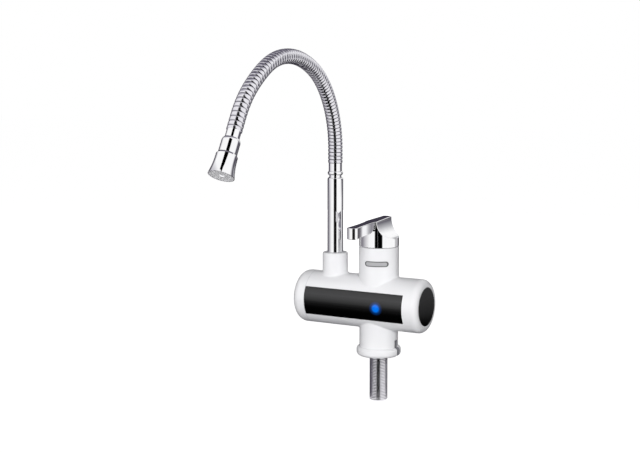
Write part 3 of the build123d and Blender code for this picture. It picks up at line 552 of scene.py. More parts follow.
class TAP_OT_panel(Operator):
    """Finish the glossy front panel, with a painted glow round its lit indicator"""

    bl_idname = "tap.front_panel"
    bl_label = "Front panel"

    def execute(self, context):
        shell = context.scene.tap_shell
        low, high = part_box("indicator_lens")
        centre = (low + high) / 2
        foot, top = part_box("front_panel")
        black = black_gloss_painted_light("black_gloss_panel", shell.black, foot.z, top.z, PANEL_PAINTED_LIGHT)
        # Painted glow of the indicator on the black panel round the lens
        painted_glow = tints(shell.lamp, (0.0, 1.0), (0.46, 0.75), (0.66, 0.16), (1.0, 0.0))
        self.light(black, centre, painted_glow, PAINTED_GLOW_REACH)
        dress("front_panel", black)
        dress("indicator_lens", self.lens(centre, shell.lamp))
        return {"FINISHED"}

    def light(self, material, centre, stops, reach):
        """Let a material shine by its distance from a line along Y through a centre."""
        tree = material.node_tree
        vector = mapped(tree, centre, (reach, 1000.0, reach))
        length = add_node(tree, "ShaderNodeVectorMath", {0: vector}, operation="LENGTH").outputs["Value"]
        shine = {"Emission Color": ramp(tree, length, stops), "Emission Strength": 1.0}
        plug(tree, tree.nodes["Principled BSDF"], shine)

    def lens(self, centre, colour):
        """Lit lens, brighter in its middle."""
        made, tree, shader = blank_material("lit_blue_lens", 0.12)
        self.light(made, centre, [(0.0, LENS_CORE), *tints(colour, (0.6, 1.0), (1.0, 0.9))], LENS_REACH)
        dark = noise(tree, mapped(tree), 1200.0)
        plug(tree, shader, {"Base Color": ramp(tree, dark, [(0, (0, 0.01, 0.06)), (1, (0, 0.02, 0.1))])})
        return made


def new_tree(name, source, numbers, result):
    """Geometry Nodes tree with its sockets; numbers are names, by kind. Returns the tree and its inputs."""
    tree = bpy.data.node_groups.new(name, "GeometryNodeTree")
    sockets = [(source, "INPUT", "Geometry")]
    sockets += [(label, "INPUT", kind) for kind, labels in numbers.items() for label in labels]
    for label, side, kind in sockets + [(result, "OUTPUT", "Geometry")]:
        tree.interface.new_socket(label, in_out=side, socket_type="NodeSocket" + kind)
    return tree, add_node(tree, "NodeGroupInput").outputs


def stored(tree, geometry, name, value):
    """Geometry with a value stored on its points."""
    inputs = {"Geometry": geometry, "Name": name, "Value": value}
    return value_of(tree, "GeometryNodeStoreNamedAttribute", inputs, data_type="FLOAT", domain="POINT")


def finish_tree(tree, geometry, material, name):
    """Close a tree with Realize Instances and Set Material."""
    real = value_of(tree, "GeometryNodeRealizeInstances", {"Geometry": geometry})
    inputs = {"Geometry": real, "Material": material}
    coated = value_of(tree, "GeometryNodeSetMaterial", inputs)
    add_node(tree, "NodeGroupOutput", {name: coated})


def off_middle(maths, turns):
    """Distance from the middle of each turn: 0 there, 1 at both its ends."""
    return maths("ABSOLUTE", maths("-", maths("*", maths("FRACT", turns), 2), 1))


def sleeve_tree(material):
    """Geometry Nodes tree that sweeps the ribbed sleeve along a path."""
    floats = ("Start Length", "Rib Pitch", "End Pitch", "Stretch Start", "Stretch Length", "Crest Radius",
              "Groove Radius")
    numbers = {"Float": floats, "Int": ("Sides", "Rings")}
    tree, given = new_tree("Ribbed sleeve", "Path", numbers, "Sleeve")
    maths = sums(tree)
    count = maths("+", given["Rings"], 1)
    even = value_of(tree, "GeometryNodeResampleCurve", {"Curve": given["Path"], "Count": count})
    along = add_node(tree, "GeometryNodeSplineParameter").outputs["Length"]
    total = maths("+", along, given["Start Length"])
    calm = maths("MINIMUM", total, given["Stretch Start"])
    drawn = maths("-", total, given["Stretch Start"])
    ramped = maths("MINIMUM", maths("MAXIMUM", drawn, 0), given["Stretch Length"])
    past = maths("MAXIMUM", maths("-", drawn, given["Stretch Length"]), 0)
    gain = maths("-", given["End Pitch"], given["Rib Pitch"])
    rate = maths("/", given["Stretch Length"], gain)
    growth = maths("+", 1, maths("/", maths("/", ramped, rate), given["Rib Pitch"]))
    turns = maths("/", calm, given["Rib Pitch"])
    turns = maths("+", turns, maths("*", rate, maths("LOGARITHM", growth, math.e)))
    turns = maths("+", turns, maths("/", past, given["End Pitch"]))
    hollow = maths("POWER", off_middle(maths, maths("+", turns, 0.0001)), CREST_FLATNESS)
    swell = maths("POWER", maths("-", 1, hollow), GROOVE_SHARPNESS)
    depth = maths("-", given["Crest Radius"], given["Groove Radius"])
    radius = maths("+", given["Groove Radius"], maths("*", depth, swell))
    kept = stored(tree, even, "rib_height", swell)
    circle = {"Radius": 1.0, "Resolution": given["Sides"]}
    ring = value_of(tree, "GeometryNodeCurvePrimitiveCircle", circle)
    inputs = {"Curve": kept, "Profile Curve": ring, "Scale": radius, "Fill Caps": True}
    sweep = value_of(tree, "GeometryNodeCurveToMesh", inputs)
    finish_tree(tree, sweep, material, "Sleeve")
    return tree


def shaped(obj, tree, values, degrees):
    """Plain mesh of an object shaped by a Geometry Nodes tree, with edges above an angle kept crisp."""
    modifier = obj.modifiers.new(tree.name, "NODES")
    modifier.node_group = tree
    for item in tree.interface.items_tree:
        if item.name in values:
            modifier[item.identifier] = values[item.name]
    made = frozen(obj)
    outward(made)
    keep_edges(made, degrees)
    return made


def sleeve_finish(colour):
    """Bright ribbed steel with painted shade, darker in the grooves."""
    groove_painted_shade = tints(colour, (0.0, 0.05), (0.45, 0.3), (0.75, 0.95), (1.0, 1.0))
    return worn_metal_painted_shade("gooseneck_sleeve", "rib_height", groove_painted_shade, 420.0, 0.1, 0.22)


class TAP_OT_gooseneck(Operator):
    """Sweep the ribbed sleeve of the gooseneck over its hinges"""

    bl_idname = "tap.gooseneck"
    bl_label = "Gooseneck"

    def execute(self, context):
        metal = context.scene.tap_metal
        for k in range(1, HOSE_PIECES):
            kind = "bend" if k % 2 else "sway"
            name = f"gooseneck_{kind}_{(k + 1) // 2}"
            if (hose_at(k * PIECE_L)[0] - joint_point(name)).length > HINGE_SLACK * MM:
                raise RuntimeError(name + " is off the gooseneck's path")
        tree = sleeve_tree(sleeve_finish(metal.sleeve))
        bodies = ["spout_body"] + [f"hose_{k:02d}" for k in range(2, HOSE_PIECES + 1)]
        for k in range(HOSE_PIECES + 1):
            start = max(0.0, (k - 0.5) * PIECE_L)
            end = min(HOSE_L, (k + 0.5) * PIECE_L)
            sleeve = self.sleeve(tree, f"gooseneck_sleeve_{k + 1:02d}", start, end, metal)
            near = [f"gooseneck_{n:02d}" for n in (k, k + 1) if 1 <= n <= HOSE_PIECES]
            if 0 < k < HOSE_PIECES:
                ends = [(bodies[k - 1], hose_at(start)[0]), (bodies[k], hose_at(end)[0])]
                if k in TURNED_BLENDS:
                    ends.reverse()
                (first, low), (last, high) = ends
                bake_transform(sleeve)
                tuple(low)
                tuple(high)
            else:
                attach(sleeve, bodies[0] if k == 0 else bodies[-1])
            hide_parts(*near)
        return {"FINISHED"}

    def sleeve(self, tree, name, start, end, metal):
        """One length of sleeve between two points along the path."""
        rings = round((end - start) / RIB_PITCH * metal.rib_rings)
        steps = POINTS_PER_RING * rings
        path = bpy.data.curves.new(name, "CURVE")
        path.dimensions = "3D"
        spline = path.splines.new("POLY")
        spline.points.add(steps)
        for index, point in enumerate(spline.points):
            point.co = (*hose_at(start + (end - start) * index / steps)[0], 1.0)
        return shaped(new_object(name, path), tree, {
            "Start Length": start * MM, "Rib Pitch": RIB_PITCH * MM, "End Pitch": metal.end_pitch,
            "Stretch Start": STRETCH_START * MM, "Stretch Length": STRETCH_L * MM,
            "Crest Radius": metal.crest_radius, "Groove Radius": metal.groove_radius,
            "Sides": metal.sleeve_sides, "Rings": rings}, degrees=75)


# Inlet shank, in millimetres
SHANK_R = 10.4775
SHANK_NECK_R = 10.2
SHANK_NECK_Z = 0.3
SHANK_BORE_R = 6.0
BORE_CHAMFER = 0.5
SHANK_SIDES = 96
COLLAR_R = 16.0
COLLAR_Z = 6.3
COLLAR_TOP_Z = 11.3
TAIL_R = 9.0
THREAD_DEPTH = 0.55
THREAD_CHAMFER = 0.7
THREAD_RUN_OUT = 1.8
RINGS_PER_TURN = 10
FLANK_START = 0.4
FLANK_SLOPE = 1.8
# Painted shade in the thread: light on the crests, darker in the grooves
THREAD_PAINTED_SHADE = ((0.0, (0.8, 0.79, 0.82)), (0.5, (0.68, 0.67, 0.71)), (1.0, (0.42, 0.41, 0.45)))


def thread_tree(material):
    """Geometry Nodes tree that cuts a rounded helical thread into a plain upright rod."""
    floats = ("Pitch", "Depth", "Outer Radius", "Low End", "High End", "Run Out")
    tree, given = new_tree("Helical thread", "Rod", {"Float": floats}, "Threaded Rod")
    maths = sums(tree)
    x, y, z = axes_of(tree, value_of(tree, "GeometryNodeInputPosition"))
    turn = maths("/", maths("ARCTAN2", y, x), 2 * math.pi)
    off_crest = off_middle(maths, maths("-", maths("/", z, given["Pitch"]), turn))
    slope = maths("*", maths("-", off_crest, FLANK_START), FLANK_SLOPE)
    flank = maths("MINIMUM", maths("MAXIMUM", slope, 0), 1)
    above = maths("/", maths("-", z, given["Low End"]), given["Run Out"])
    below = maths("/", maths("-", given["High End"], z), given["Run Out"])
    fade = maths("MAXIMUM", maths("MINIMUM", maths("MINIMUM", above, below), 1), 0)
    reach = maths("SQRT", maths("+", maths("*", x, x), maths("*", y, y)))
    outer = maths("GREATER_THAN", reach, maths("-", given["Outer Radius"], 0.05 * MM))
    groove = maths("*", flank, maths("*", fade, outer))
    cut = maths("*", given["Depth"], groove)
    share = maths("/", maths("-", reach, cut), reach)
    place = {0: maths("*", x, share), 1: maths("*", y, share), 2: z}
    moved = value_of(tree, "ShaderNodeCombineXYZ", place)
    kept = stored(tree, given["Rod"], "groove_depth", groove)
    carved = value_of(tree, "GeometryNodeSetPosition", {"Geometry": kept, "Position": moved})
    finish_tree(tree, carved, material, "Threaded Rod")
    return tree


class TAP_OT_shank(Operator):
    """Make the inlet shank with its thread"""

    bl_idname = "tap.shank"
    bl_label = "Inlet shank"

    def execute(self, context):
        metal = context.scene.tap_metal
        low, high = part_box("threaded_shank")
        foot = low.z / MM
        top = high.z / MM
        start = foot + THREAD_CHAMFER
        rings = round(-foot / (metal.thread_pitch / MM) * RINGS_PER_TURN)
        outline = [(SHANK_BORE_R, foot + BORE_CHAMFER), (SHANK_BORE_R + BORE_CHAMFER, foot),
                   (SHANK_R - THREAD_CHAMFER, foot)]
        outline += [(SHANK_R, start - start * k / rings) for k in range(rings + 1)]
        outline += [(SHANK_NECK_R, SHANK_NECK_Z), (SHANK_NECK_R, COLLAR_Z), (COLLAR_R, COLLAR_Z),
                    (COLLAR_R, COLLAR_TOP_Z), (TAIL_R, COLLAR_TOP_Z), (TAIL_R, top), (SHANK_BORE_R, top)]
        shank = turned_piece("inlet_shank", outline, SHANK_SIDES)
        finish = worn_metal_painted_shade("plated_thread", "groove_depth", THREAD_PAINTED_SHADE, 500.0, 0.14, 0.28)
        shank = shaped(shank, thread_tree(finish), {
            "Pitch": metal.thread_pitch, "Depth": THREAD_DEPTH * MM, "Outer Radius": SHANK_R * MM,
            "Low End": start * MM, "High End": -SHANK_NECK_Z * MM, "Run Out": THREAD_RUN_OUT * MM},
            degrees=50)
        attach(shank, "tap_body")
        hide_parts("threaded_shank")
        return {"FINISHED"}


# Handle, in millimetres
HANDLE_R = 23.1
HANDLE_SKIRT_Z = 128.6
HANDLE_TIP_Y = -71.8
HANDLE_TIP_TOP_Z = 157.0
HANDLE_BACK_TOP_Z = 161.3
LEVER_HALF_W = 6.45
LEVER_WAIST = 1.1
WAIST_Y = -46.0
WAIST_HALF_L = 22.0
LEVER_END_Y = -12.0
NOSE_R = 7.6
SCOOP_R = 20.5
SCOOP_X = 27.0
SCOOP_Z = 159.2
SCOOP_TURN = 0.05
HEEL_R = 9.5
HEEL_Y = -35.2
HEEL_Z = 155.8
TIP_UNDER_Z = 144.0
ROOT_Z = 158.4
FILLET_LEAST = 0.04
FILLET_MOST = 0.8
FILLET_SPREAD = 45.0
CAVITY_R = 20.2
CAVITY_H = 7.8
CAVITY_EDGE_R = 0.3
SCREW_R = 2.5
SCREW_H = 14.8
SCREW_Y = 6.0
SCREW_EDGE_R = 0.35
NET_STEP = 0.5
NET_MARGIN = 1.1


def cut_round(first, second, r):
    """Distance to what two shapes share, with the edge between them rounded."""
    outside = np.hypot(np.maximum(first + r, 0), np.maximum(second + r, 0))
    return np.minimum(np.maximum(first, second), -r) + outside


def join_round(first, second, r):
    """Distance to two shapes together, with the corner between them filled."""
    inside = np.hypot(np.maximum(r - first, 0), np.maximum(r - second, 0))
    return np.maximum(np.minimum(first, second), r) - inside


def handle_field(points, edge_r):
    """Distance outside the handle's surface: a turned cap, scooped along both sides, with a lever."""
    x, y, z = points[..., 0], points[..., 1], points[..., 2]
    ax = np.abs(x)
    slope = (HANDLE_BACK_TOP_Z - HANDLE_TIP_TOP_Z) / (HANDLE_R - HANDLE_TIP_Y)
    top = (z - HANDLE_TIP_TOP_Z - slope * (y - HANDLE_TIP_Y)) / math.hypot(1, slope)
    wall = np.hypot(x, y) - HANDLE_R
    cap = cut_round(wall, HANDLE_SKIRT_Z - z, CAVITY_EDGE_R)
    scoop_x = SCOOP_X - SCOOP_TURN * y
    scoop = np.where(z > SCOOP_Z, ax - (scoop_x - SCOOP_R), SCOOP_R - np.hypot(ax - scoop_x, z - SCOOP_Z))
    cap = cut_round(cap, scoop, edge_r)
    waist = LEVER_WAIST * np.maximum(0, 1 - ((y - WAIST_Y) / WAIST_HALF_L) ** 2)
    side = ax - LEVER_HALF_W + waist
    nose = np.where(y < HANDLE_TIP_Y + NOSE_R, np.hypot(x, y - HANDLE_TIP_Y - NOSE_R) - NOSE_R, ax - NOSE_R)
    rise = (HEEL_Z - HEEL_R - TIP_UNDER_Z) / (HEEL_Y - HANDLE_TIP_Y)
    under = (TIP_UNDER_Z + rise * (y - HANDLE_TIP_Y) - z) / math.hypot(1, rise)
    heel = np.where(y < HEEL_Y, under, np.hypot(y - HEEL_Y, z - HEEL_Z) - HEEL_R)
    root = np.maximum(ROOT_Z - z, HEEL_Y - y)
    bar = cut_round(side, nose, edge_r)
    bar = cut_round(bar, np.minimum(heel, root), edge_r)
    bar = np.maximum(bar, y - LEVER_END_Y)
    step = np.maximum(0, SCOOP_Z - z)
    whole = join_round(cap, bar, np.minimum(FILLET_LEAST + step ** 2 / FILLET_SPREAD, FILLET_MOST))
    whole = cut_round(whole, top, edge_r)
    cavity = np.maximum(np.hypot(x, y) - CAVITY_R, z - HANDLE_SKIRT_Z - CAVITY_H)
    screw_hole = np.maximum(np.hypot(x, z - HANDLE_SKIRT_Z - SCREW_H) - SCREW_R, SCREW_Y - y)
    return cut_round(cut_round(whole, -cavity, CAVITY_EDGE_R), -screw_hole, SCREW_EDGE_R)


def slope_of(field, points):
    """Gradient of a distance at points."""
    step = 0.01
    parts = [(field(points + step * axis) - field(points - step * axis)) / (2 * step) for axis in np.eye(3)]
    return np.stack(parts, -1)


def net_round(field, low, high, step):
    """Points, faces and outward normals of the surface where a distance is nothing."""
    axes = [np.arange(a, b + step, step) for a, b in zip(low, high)]
    grid = np.stack(np.meshgrid(*axes, indexing="ij"), -1)
    value = field(grid)
    inside = value < 0
    shape = tuple(n - 1 for n in inside.shape)
    total = np.zeros(shape + (3,))
    count = np.zeros(shape)
    corners = [np.array(c) for c in np.ndindex(2, 2, 2)]
    for start in corners:
        for axis in range(3):
            if start[axis]:
                continue
            end = start.copy()
            end[axis] = 1
            a = tuple(slice(o, o + n) for o, n in zip(start, shape))
            b = tuple(slice(o, o + n) for o, n in zip(end, shape))
            crossed = inside[a] != inside[b]
            gap = np.where(crossed, value[a] - value[b], 1.0)
            share = (value[a] / gap)[..., None]
            total += np.where(crossed[..., None], grid[a] + share * (grid[b] - grid[a]), 0)
            count += crossed
    used = count > 0
    number = np.full(shape, -1)
    number[used] = np.arange(used.sum())
    points = total[used] / count[used][:, None]
    faces = []
    for axis in range(3):
        others = [k for k in range(3) if k != axis]
        a = [slice(1, -1)] * 3
        a[axis] = slice(0, -1)
        b = list(a)
        b[axis] = slice(1, None)
        crossed = inside[tuple(a)] != inside[tuple(b)]
        place = np.argwhere(crossed)
        for k in others:
            place[:, k] += 1
        loop = []
        for back, side in ((1, 1), (0, 1), (0, 0), (1, 0)):
            cell = place.copy()
            cell[:, others[0]] -= back
            cell[:, others[1]] -= side
            loop.append(number[tuple(cell.T)])
        quads = np.stack(loop, -1)
        leaves = inside[tuple(place.T)]
        if axis == 1:
            leaves = ~leaves
        quads[~leaves] = quads[~leaves][:, ::-1]
        faces.append(quads)
    for _ in range(5):
        gradient = slope_of(field, points)
        steep = np.maximum((gradient ** 2).sum(-1, keepdims=True), 0.05)
        points = points - np.clip(field(points)[:, None] * gradient / steep, -step, step)
    gradient = slope_of(field, points)
    return points, np.concatenate(faces), gradient / np.linalg.norm(gradient, axis=-1, keepdims=True)


class TAP_OT_handle(Operator):
    """Make the polished handle, its edges rounded as in a casting"""

    bl_idname = "tap.handle"
    bl_label = "Handle"

    def execute(self, context):
        metal = context.scene.tap_metal
        edge_r = metal.handle_edge / MM
        low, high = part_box("handle")
        low = [c / MM - NET_MARGIN for c in low]
        low[1] = min(low[1], HANDLE_TIP_Y - NET_MARGIN)
        high = [c / MM + NET_MARGIN for c in high]
        points, faces, normals = net_round(lambda at: handle_field(at, edge_r), low, high, NET_STEP)
        made = mesh_object("polished_handle", (points * MM).tolist(), faces.tolist())
        made.data.normals_split_custom_set_from_vertices(normals.tolist())
        made.data.materials.append(chrome_finish(metal.chrome))
        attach(made, "handle_body")
        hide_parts("handle")
        return {"FINISHED"}

class TAP_OT_chrome(Operator):
    """Finish the chromed pipe, ferrules and nozzle, and the pale spray face"""

    bl_idname = "tap.chrome"
    bl_label = "Chrome"

    def execute(self, context):
        chrome = chrome_finish(context.scene.tap_metal.chrome)
        for name in ("spout_pipe", "lower_ferrule", "upper_ferrule", "nozzle_body", "nozzle_bell", "handle"):
            dress(name, chrome)
        dress("spray_plate", grained("pale_spray_face", (0.85, 0.85, 0.86), 0.6, 900.0, 0.00001))
        return {"FINISHED"}


class TAP_OT_inside(Operator):
    """Finish the pieces inside the tap"""

    bl_idname = "tap.inside"
    bl_label = "Pieces inside"

    def execute(self, context):
        for part in frame["record"]["subparts"]:
            if part["node"] not in DRESSED:
                dress(part["node"], finish_of_slot(part["material_slot"]))
        return {"FINISHED"}


# Stage: the camera's place in metres, and headings in degrees, measured round the tap from the camera's side
VIEW_TURN = math.radians(28.884)
VIEW_PITCH = math.radians(5.014)
CAMERA_PLACE = Vector((0.62266, -1.27098, 0.33472))
CAMERA_SHIFT = -0.08
VIEW_AZIMUTH = -63.9
FLOOR_Z = CAD_BOX[0][2] - 0.0004
FLOOR_REACH = 6.0
RING_Z = FLOOR_Z + 0.0002
SHANK_RING_Z = FLOOR_Z + 0.0003
DISC_Z = FLOOR_Z + 0.0004
WHITE = (1.0, 1.0, 1.0, 1.0)

# Soft lights: name, place, target and size in metres, and the setting that holds the power
LAMPS = (
    ("Key light", (0.62, -1.62, 0.4), (-0.03, -0.05, 0.12), 1.1, "key_power"),
    ("Back light", (-0.5, 1.7, 0.45), (-0.03, 0.05, 0.12), 1.1, "back_power"),
    ("Top light", (-0.1, 0.1, 1.6), (-0.03, -0.05, 0.12), 1.4, "top_power"))

# Colours by heading on the cards that reflections see; one number is a grey
GAP = ((-27, 1.0), (-23, 0.0), (17, 0.0), (21, 1.0))
WALL_STOPS = (
    (-180, (0.05, 0.045, 0.06)), (-155, (0.07, 0.065, 0.08)), (-130, (0.14, 0.13, 0.155)),
    (-105, (0.3, 0.29, 0.32)), (-80, (0.66, 0.65, 0.67)), (-58, 0.97), (-27, 1.0), (-23, 0.0), (-8.2, 0.0),
    (-7.9, 0.3), (-7.1, 0.3), (-6.8, 0.0), (17, 0.0), (21, 1.0), (96, 1.0), (105, 0.8),
    (113, (0.45, 0.44, 0.46)), (119, (0.25, 0.24, 0.27)), (122, (0.5, 0.5, 0.52)), (125, (0.95, 0.95, 0.96)),
    (129, (0.95, 0.95, 0.96)), (131.5, (0.3, 0.29, 0.31)), (134, (0.12, 0.115, 0.13)),
    (143, (0.04, 0.035, 0.045)), (180, (0.05, 0.045, 0.06)))
HOSE_STOPS = (
    (-180, (0.05, 0.045, 0.065)), (-126, (0.05, 0.045, 0.065)), (-112, (0.12, 0.11, 0.15)),
    (-98, (0.6, 0.59, 0.63)), (-80, (0.8, 0.79, 0.82)), (-50, (0.94, 0.94, 0.96)), *GAP, (86, 1.0),
    (96, (0.45, 0.44, 0.48)), (104, (0.07, 0.065, 0.085)), (134, (0.12, 0.115, 0.14)),
    (143, (0.04, 0.035, 0.05)), (180, (0.05, 0.045, 0.065)))
HIGH_STOPS = (
    (-180, (0.04, 0.035, 0.045)), (-134, (0.05, 0.045, 0.055)), (-118, (0.4, 0.39, 0.42)), (-102, 1.0), *GAP,
    (104, 1.0), (116, (0.4, 0.39, 0.42)), (128, (0.05, 0.045, 0.055)), (180, (0.04, 0.035, 0.045)))
FAINT_STOPS = (
    (128, (0.12, 0.115, 0.14)), (136, (0.1, 0.095, 0.12)), (143, (0.05, 0.045, 0.06)),
    (173, (0.05, 0.045, 0.06)))
HALF_STOPS = ((128, (0.5, 0.5, 0.52)), (155, (0.45, 0.45, 0.47)), (173, (0.2, 0.2, 0.22)))
GLOW_STOPS = ((128, 1.0), (167, 1.0), (173, (0.3, 0.3, 0.32)))
NEAR_STOPS = (
    (-180, (0.06, 0.055, 0.075)), (-110, (0.11, 0.1, 0.13)), (-86, (0.16, 0.15, 0.19)),
    (-70, (0.85, 0.85, 0.88)), (-27, 1.0), (-23, 0.0), (16, 0.0), (20, 1.0), (86, 1.0),
    (102, (0.09, 0.085, 0.1)), (180, (0.06, 0.055, 0.075)))
BAR_STOPS = ((-23, 0.0), (17, 0.0))

# Cards round the tap: name, radius and height of both edges in metres, colours along both edges
CARDS = (
    ("wall_low", (1.0, FLOOR_Z), (1.0, 0.07), WALL_STOPS, WALL_STOPS),
    ("wall_step", (1.0, 0.07), (1.0, 0.13), WALL_STOPS, HOSE_STOPS),
    ("wall_hose", (1.0, 0.13), (1.0, 0.33), HOSE_STOPS, HOSE_STOPS),
    ("wall_middle", (1.0, 0.33), (1.0, 0.8), HOSE_STOPS, HIGH_STOPS),
    ("wall_bar", (1.0, 0.8), (1.0, 2.6), BAR_STOPS, BAR_STOPS),
    ("back_glow_foot", (0.9, 0.1), (0.9, 0.32), FAINT_STOPS, HALF_STOPS),
    ("back_glow_rise", (0.9, 0.32), (0.9, 0.52), HALF_STOPS, GLOW_STOPS),
    ("back_glow", (0.9, 0.52), (0.9, 0.95), GLOW_STOPS, GLOW_STOPS),
    ("ground_ring", (0.03, RING_Z), (1.0, RING_Z), WALL_STOPS, WALL_STOPS),
    ("shank_ring", (0.02, SHANK_RING_Z), (0.3, SHANK_RING_Z), NEAR_STOPS, NEAR_STOPS))

# Dark card in front of the panel, and the patch of floor that the end disc reflects: (radius, grey)
PANEL_CARD = ((-0.22, -0.034, 0.02), (-0.22, -0.24, 0.02), (0.08, -0.034, 0.02), (0.08, -0.24, 0.02))
DISC_GREYS = ((0.3, 0.0), (0.46, 0.0), (0.5, 0.03), (0.54, 0.12), (0.58, 0.18), (0.97, 0.2))
DISC_HEADINGS = (118, 140)
CARD_STEP = 4

# The room by height: share of its light; and in reflections, by how near a direction is to up and behind
SKY_SHARES = ((0.0, 1.0), (0.3, 0.8), (0.9, 0.15))
SKY_SHINE = ((0.0, (1, 1, 1)), (0.62, (1, 1, 1)), (0.76, (0.5, 0.49, 0.54)), (0.88, (0.15, 0.14, 0.18)))


def shade_at(stops, place):
    """Colour between stops at a place."""
    for (start, first), (end, second) in zip(stops, stops[1:]):
        if start <= place <= end:
            share = (place - start) / (end - start)
            ends = [c if isinstance(c, tuple) else (c,) * 3 for c in (first, second)]
            return tuple(a + (b - a) * share for a, b in zip(*ends))
    raise RuntimeError("a place lies outside the stops")


def dense(*lists):
    """Places round the walls: every stop of the lists, and more between them so that the walls are round."""
    places = sorted({place for stops in lists for place, _ in stops})
    filled = []
    for start, end in zip(places, places[1:]):
        steps = max(1, round((end - start) / CARD_STEP))
        filled += [start + (end - start) * k / steps for k in range(steps)]
    return filled + [places[-1]]


def around(radius, heading, z):
    """Point at a distance from the tap and a heading from the camera's side."""
    angle = math.radians(VIEW_AZIMUTH + heading)
    return radius * math.cos(angle), radius * math.sin(angle), z


def reflected_card(name, points, colours):
    """Strip of faces between pairs of points, lit by its own colours and seen by reflections alone."""
    faces = [(k, k + 2, k + 3, k + 1) for k in range(0, len(points) - 2, 2)]
    card = mesh_object(name, points, faces, False)
    layer = card.data.color_attributes.new("glow", "FLOAT_COLOR", "POINT")
    for entry, colour in zip(layer.data, colours):
        entry.color = (*colour, 1.0)
    made, tree = bare_material(name)
    tint = add_node(tree, "ShaderNodeAttribute", attribute_name="glow").outputs["Color"]
    glow = value_of(tree, "ShaderNodeEmission", {"Color": tint})
    add_node(tree, "ShaderNodeOutputMaterial", {"Surface": glow})
    card.data.materials.append(made)
    card.visible_camera = False
    card.visible_diffuse = False
    card.visible_transmission = False
    card.visible_shadow = False


def background_share(tree):
    """1 for camera, glossy and transmission rays, 0 for the rest."""
    path = add_node(tree, "ShaderNodeLightPath").outputs
    maths = sums(tree)
    seen = maths("MAXIMUM", path["Is Camera Ray"], path["Is Glossy Ray"])
    return maths("MAXIMUM", seen, path["Is Transmission Ray"])


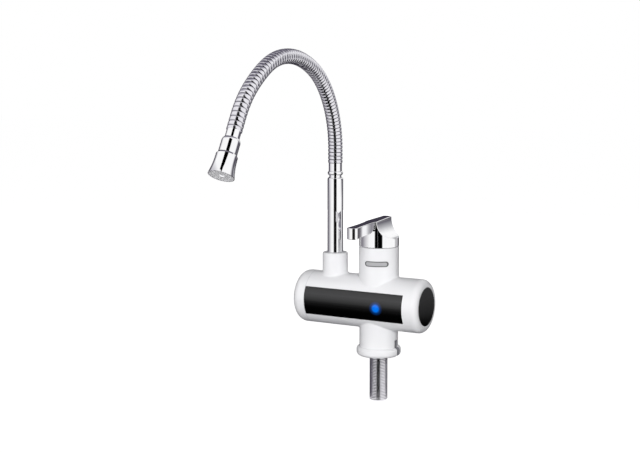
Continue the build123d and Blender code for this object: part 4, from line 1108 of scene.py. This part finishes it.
class TAP_OT_stage(Operator):
    """Make the floor, the room, the lights and the camera"""

    bl_idname = "tap.stage"
    bl_label = "Stage"

    def execute(self, context):
        scene = context.scene
        stage = scene.tap_stage
        self.floor()
        self.room(scene, stage.world_light)
        for name, place, target, size, power in LAMPS:
            self.lamp(name, place, target, size, getattr(stage, power))
        self.tent()
        self.camera(scene, stage.lens)
        scene.view_settings.view_transform = "Standard"
        return {"FINISHED"}

    def floor(self):
        """Pale floor that keeps the tap's shadow."""
        corners = ((-1, -1), (1, -1), (1, 1), (-1, 1))
        points = [(x * FLOOR_REACH, y * FLOOR_REACH, FLOOR_Z) for x, y in corners]
        floor = mesh_object("floor", points, [(0, 1, 2, 3)], False)
        made, tree = bare_material("pale_floor")
        cloud = noise(tree, mapped(tree), 2.0, 2.0)
        tint = ramp(tree, cloud, [(0.0, (0.86, 0.86, 0.865)), (1.0, (0.9, 0.9, 0.905))])
        matt = value_of(tree, "ShaderNodeBsdfDiffuse", {"Color": tint})
        dim = value_of(tree, "ShaderNodeBsdfDiffuse", {"Color": (0.22, 0.22, 0.23, 1.0)})
        glow = value_of(tree, "ShaderNodeEmission", {"Strength": 1.15})
        pale = value_of(tree, "ShaderNodeMixShader", {"Fac": 0.82, 1: matt, 2: glow})
        seen = {"Fac": background_share(tree), 1: dim, 2: pale}
        surface = value_of(tree, "ShaderNodeMixShader", seen)
        add_node(tree, "ShaderNodeOutputMaterial", {"Surface": surface})
        floor.data.materials.append(made)

    def tent(self):
        """Cards that the gloss reflects: pale sides, a dark gap for the camera and a dim back."""
        for name, low, high, low_stops, high_stops in CARDS:
            points = []
            colours = []
            for heading in dense(low_stops, high_stops):
                for (radius, z), stops in ((low, low_stops), (high, high_stops)):
                    points.append(around(radius, heading, z))
                    colours.append(shade_at(stops, heading))
            reflected_card(name, points, colours)
        reflected_card("panel_shade", PANEL_CARD, [(0.0, 0.0, 0.0)] * len(PANEL_CARD))
        points = [around(radius, heading, DISC_Z) for radius, _ in DISC_GREYS for heading in DISC_HEADINGS]
        reflected_card("disc_shade", points, [(grey,) * 3 for _, grey in DISC_GREYS for _ in DISC_HEADINGS])

    def room(self, scene, level):
        """White room to the camera; as light and in reflections, dimmer towards the ceiling."""
        world = bpy.data.worlds.new("White room")
        world.use_nodes = True
        tree = world.node_tree
        way = add_node(tree, "ShaderNodeTexCoord").outputs["Generated"]
        stops = [(place, (level * share,) * 3) for place, share in SKY_SHARES]
        light = ramp(tree, axes_of(tree, way)[2], stops)
        behind = around(0.6, 180, 0.8)
        facing = add_node(tree, "ShaderNodeVectorMath", {0: way, 1: behind}, operation="DOT_PRODUCT")
        shine = ramp(tree, facing.outputs["Value"], SKY_SHINE)
        path = add_node(tree, "ShaderNodeLightPath").outputs
        seen = sums(tree)("MAXIMUM", path["Is Camera Ray"], path["Is Transmission Ray"])
        lit = mixed(tree, path["Is Glossy Ray"], light, shine)
        plug(tree, tree.nodes["Background"], {"Color": mixed(tree, seen, lit, WHITE)})
        scene.world = world

    def lamp(self, name, place, target, size, power):
        """Square soft light turned to a target."""
        data = bpy.data.lights.new(name, "AREA")
        data.shape = "SQUARE"
        data.size = size
        data.energy = power
        made = new_object(name, data)
        made.location = place
        made.rotation_euler = (Vector(target) - Vector(place)).to_track_quat("-Z", "Y").to_euler()
        made.visible_glossy = False

    def camera(self, scene, lens):
        """Camera at the photograph's place and angle."""
        data = bpy.data.cameras.new("Camera")
        data.sensor_fit = "HORIZONTAL"
        data.sensor_width = 36.0
        data.lens = lens
        data.shift_y = CAMERA_SHIFT
        data.clip_start = 0.01
        made = new_object("Camera", data)
        made.location = CAMERA_PLACE
        made.rotation_euler = (math.pi / 2 - VIEW_PITCH, 0, VIEW_TURN)
        scene.camera = made


class TAP_PT_panel(Panel):
    """Sizes, colours and steps of the tap"""

    bl_idname = "TAP_PT_panel"
    bl_label = "Heater Tap"
    bl_space_type = "VIEW_3D"
    bl_region_type = "UI"
    bl_category = "Heater Tap"

    def draw(self, context):
        for group in GROUPS:
            box = self.layout.box()
            settings = getattr(context.scene, group)
            for name in settings.bl_rna.properties.keys():
                if name not in ("rna_type", "name"):
                    box.prop(settings, name)
        for operator in OPERATORS:
            self.layout.operator(operator.bl_idname)


OPERATORS = (TAP_OT_shell, TAP_OT_panel, TAP_OT_chrome, TAP_OT_handle, TAP_OT_shank, TAP_OT_gooseneck,
             TAP_OT_inside, TAP_OT_stage)
GROUPS = {"tap_shell": TapShellSettings, "tap_metal": TapMetalSettings, "tap_stage": TapStageSettings}


def register():
    for name, group in GROUPS.items():
        bpy.utils.register_class(group)
        setattr(bpy.types.Scene, name, PointerProperty(type=group))
    for kind in (*OPERATORS, TAP_PT_panel):
        bpy.utils.register_class(kind)


def unregister():
    for kind in (TAP_PT_panel, *reversed(OPERATORS)):
        bpy.utils.unregister_class(kind)
    for name, group in reversed(GROUPS.items()):
        delattr(bpy.types.Scene, name)
        bpy.utils.unregister_class(group)


def main():
    register()
    for operator in OPERATORS:
        group, name = operator.bl_idname.split(".")
        getattr(getattr(bpy.ops, group), name)()


if __name__ == "__main__":
    main()
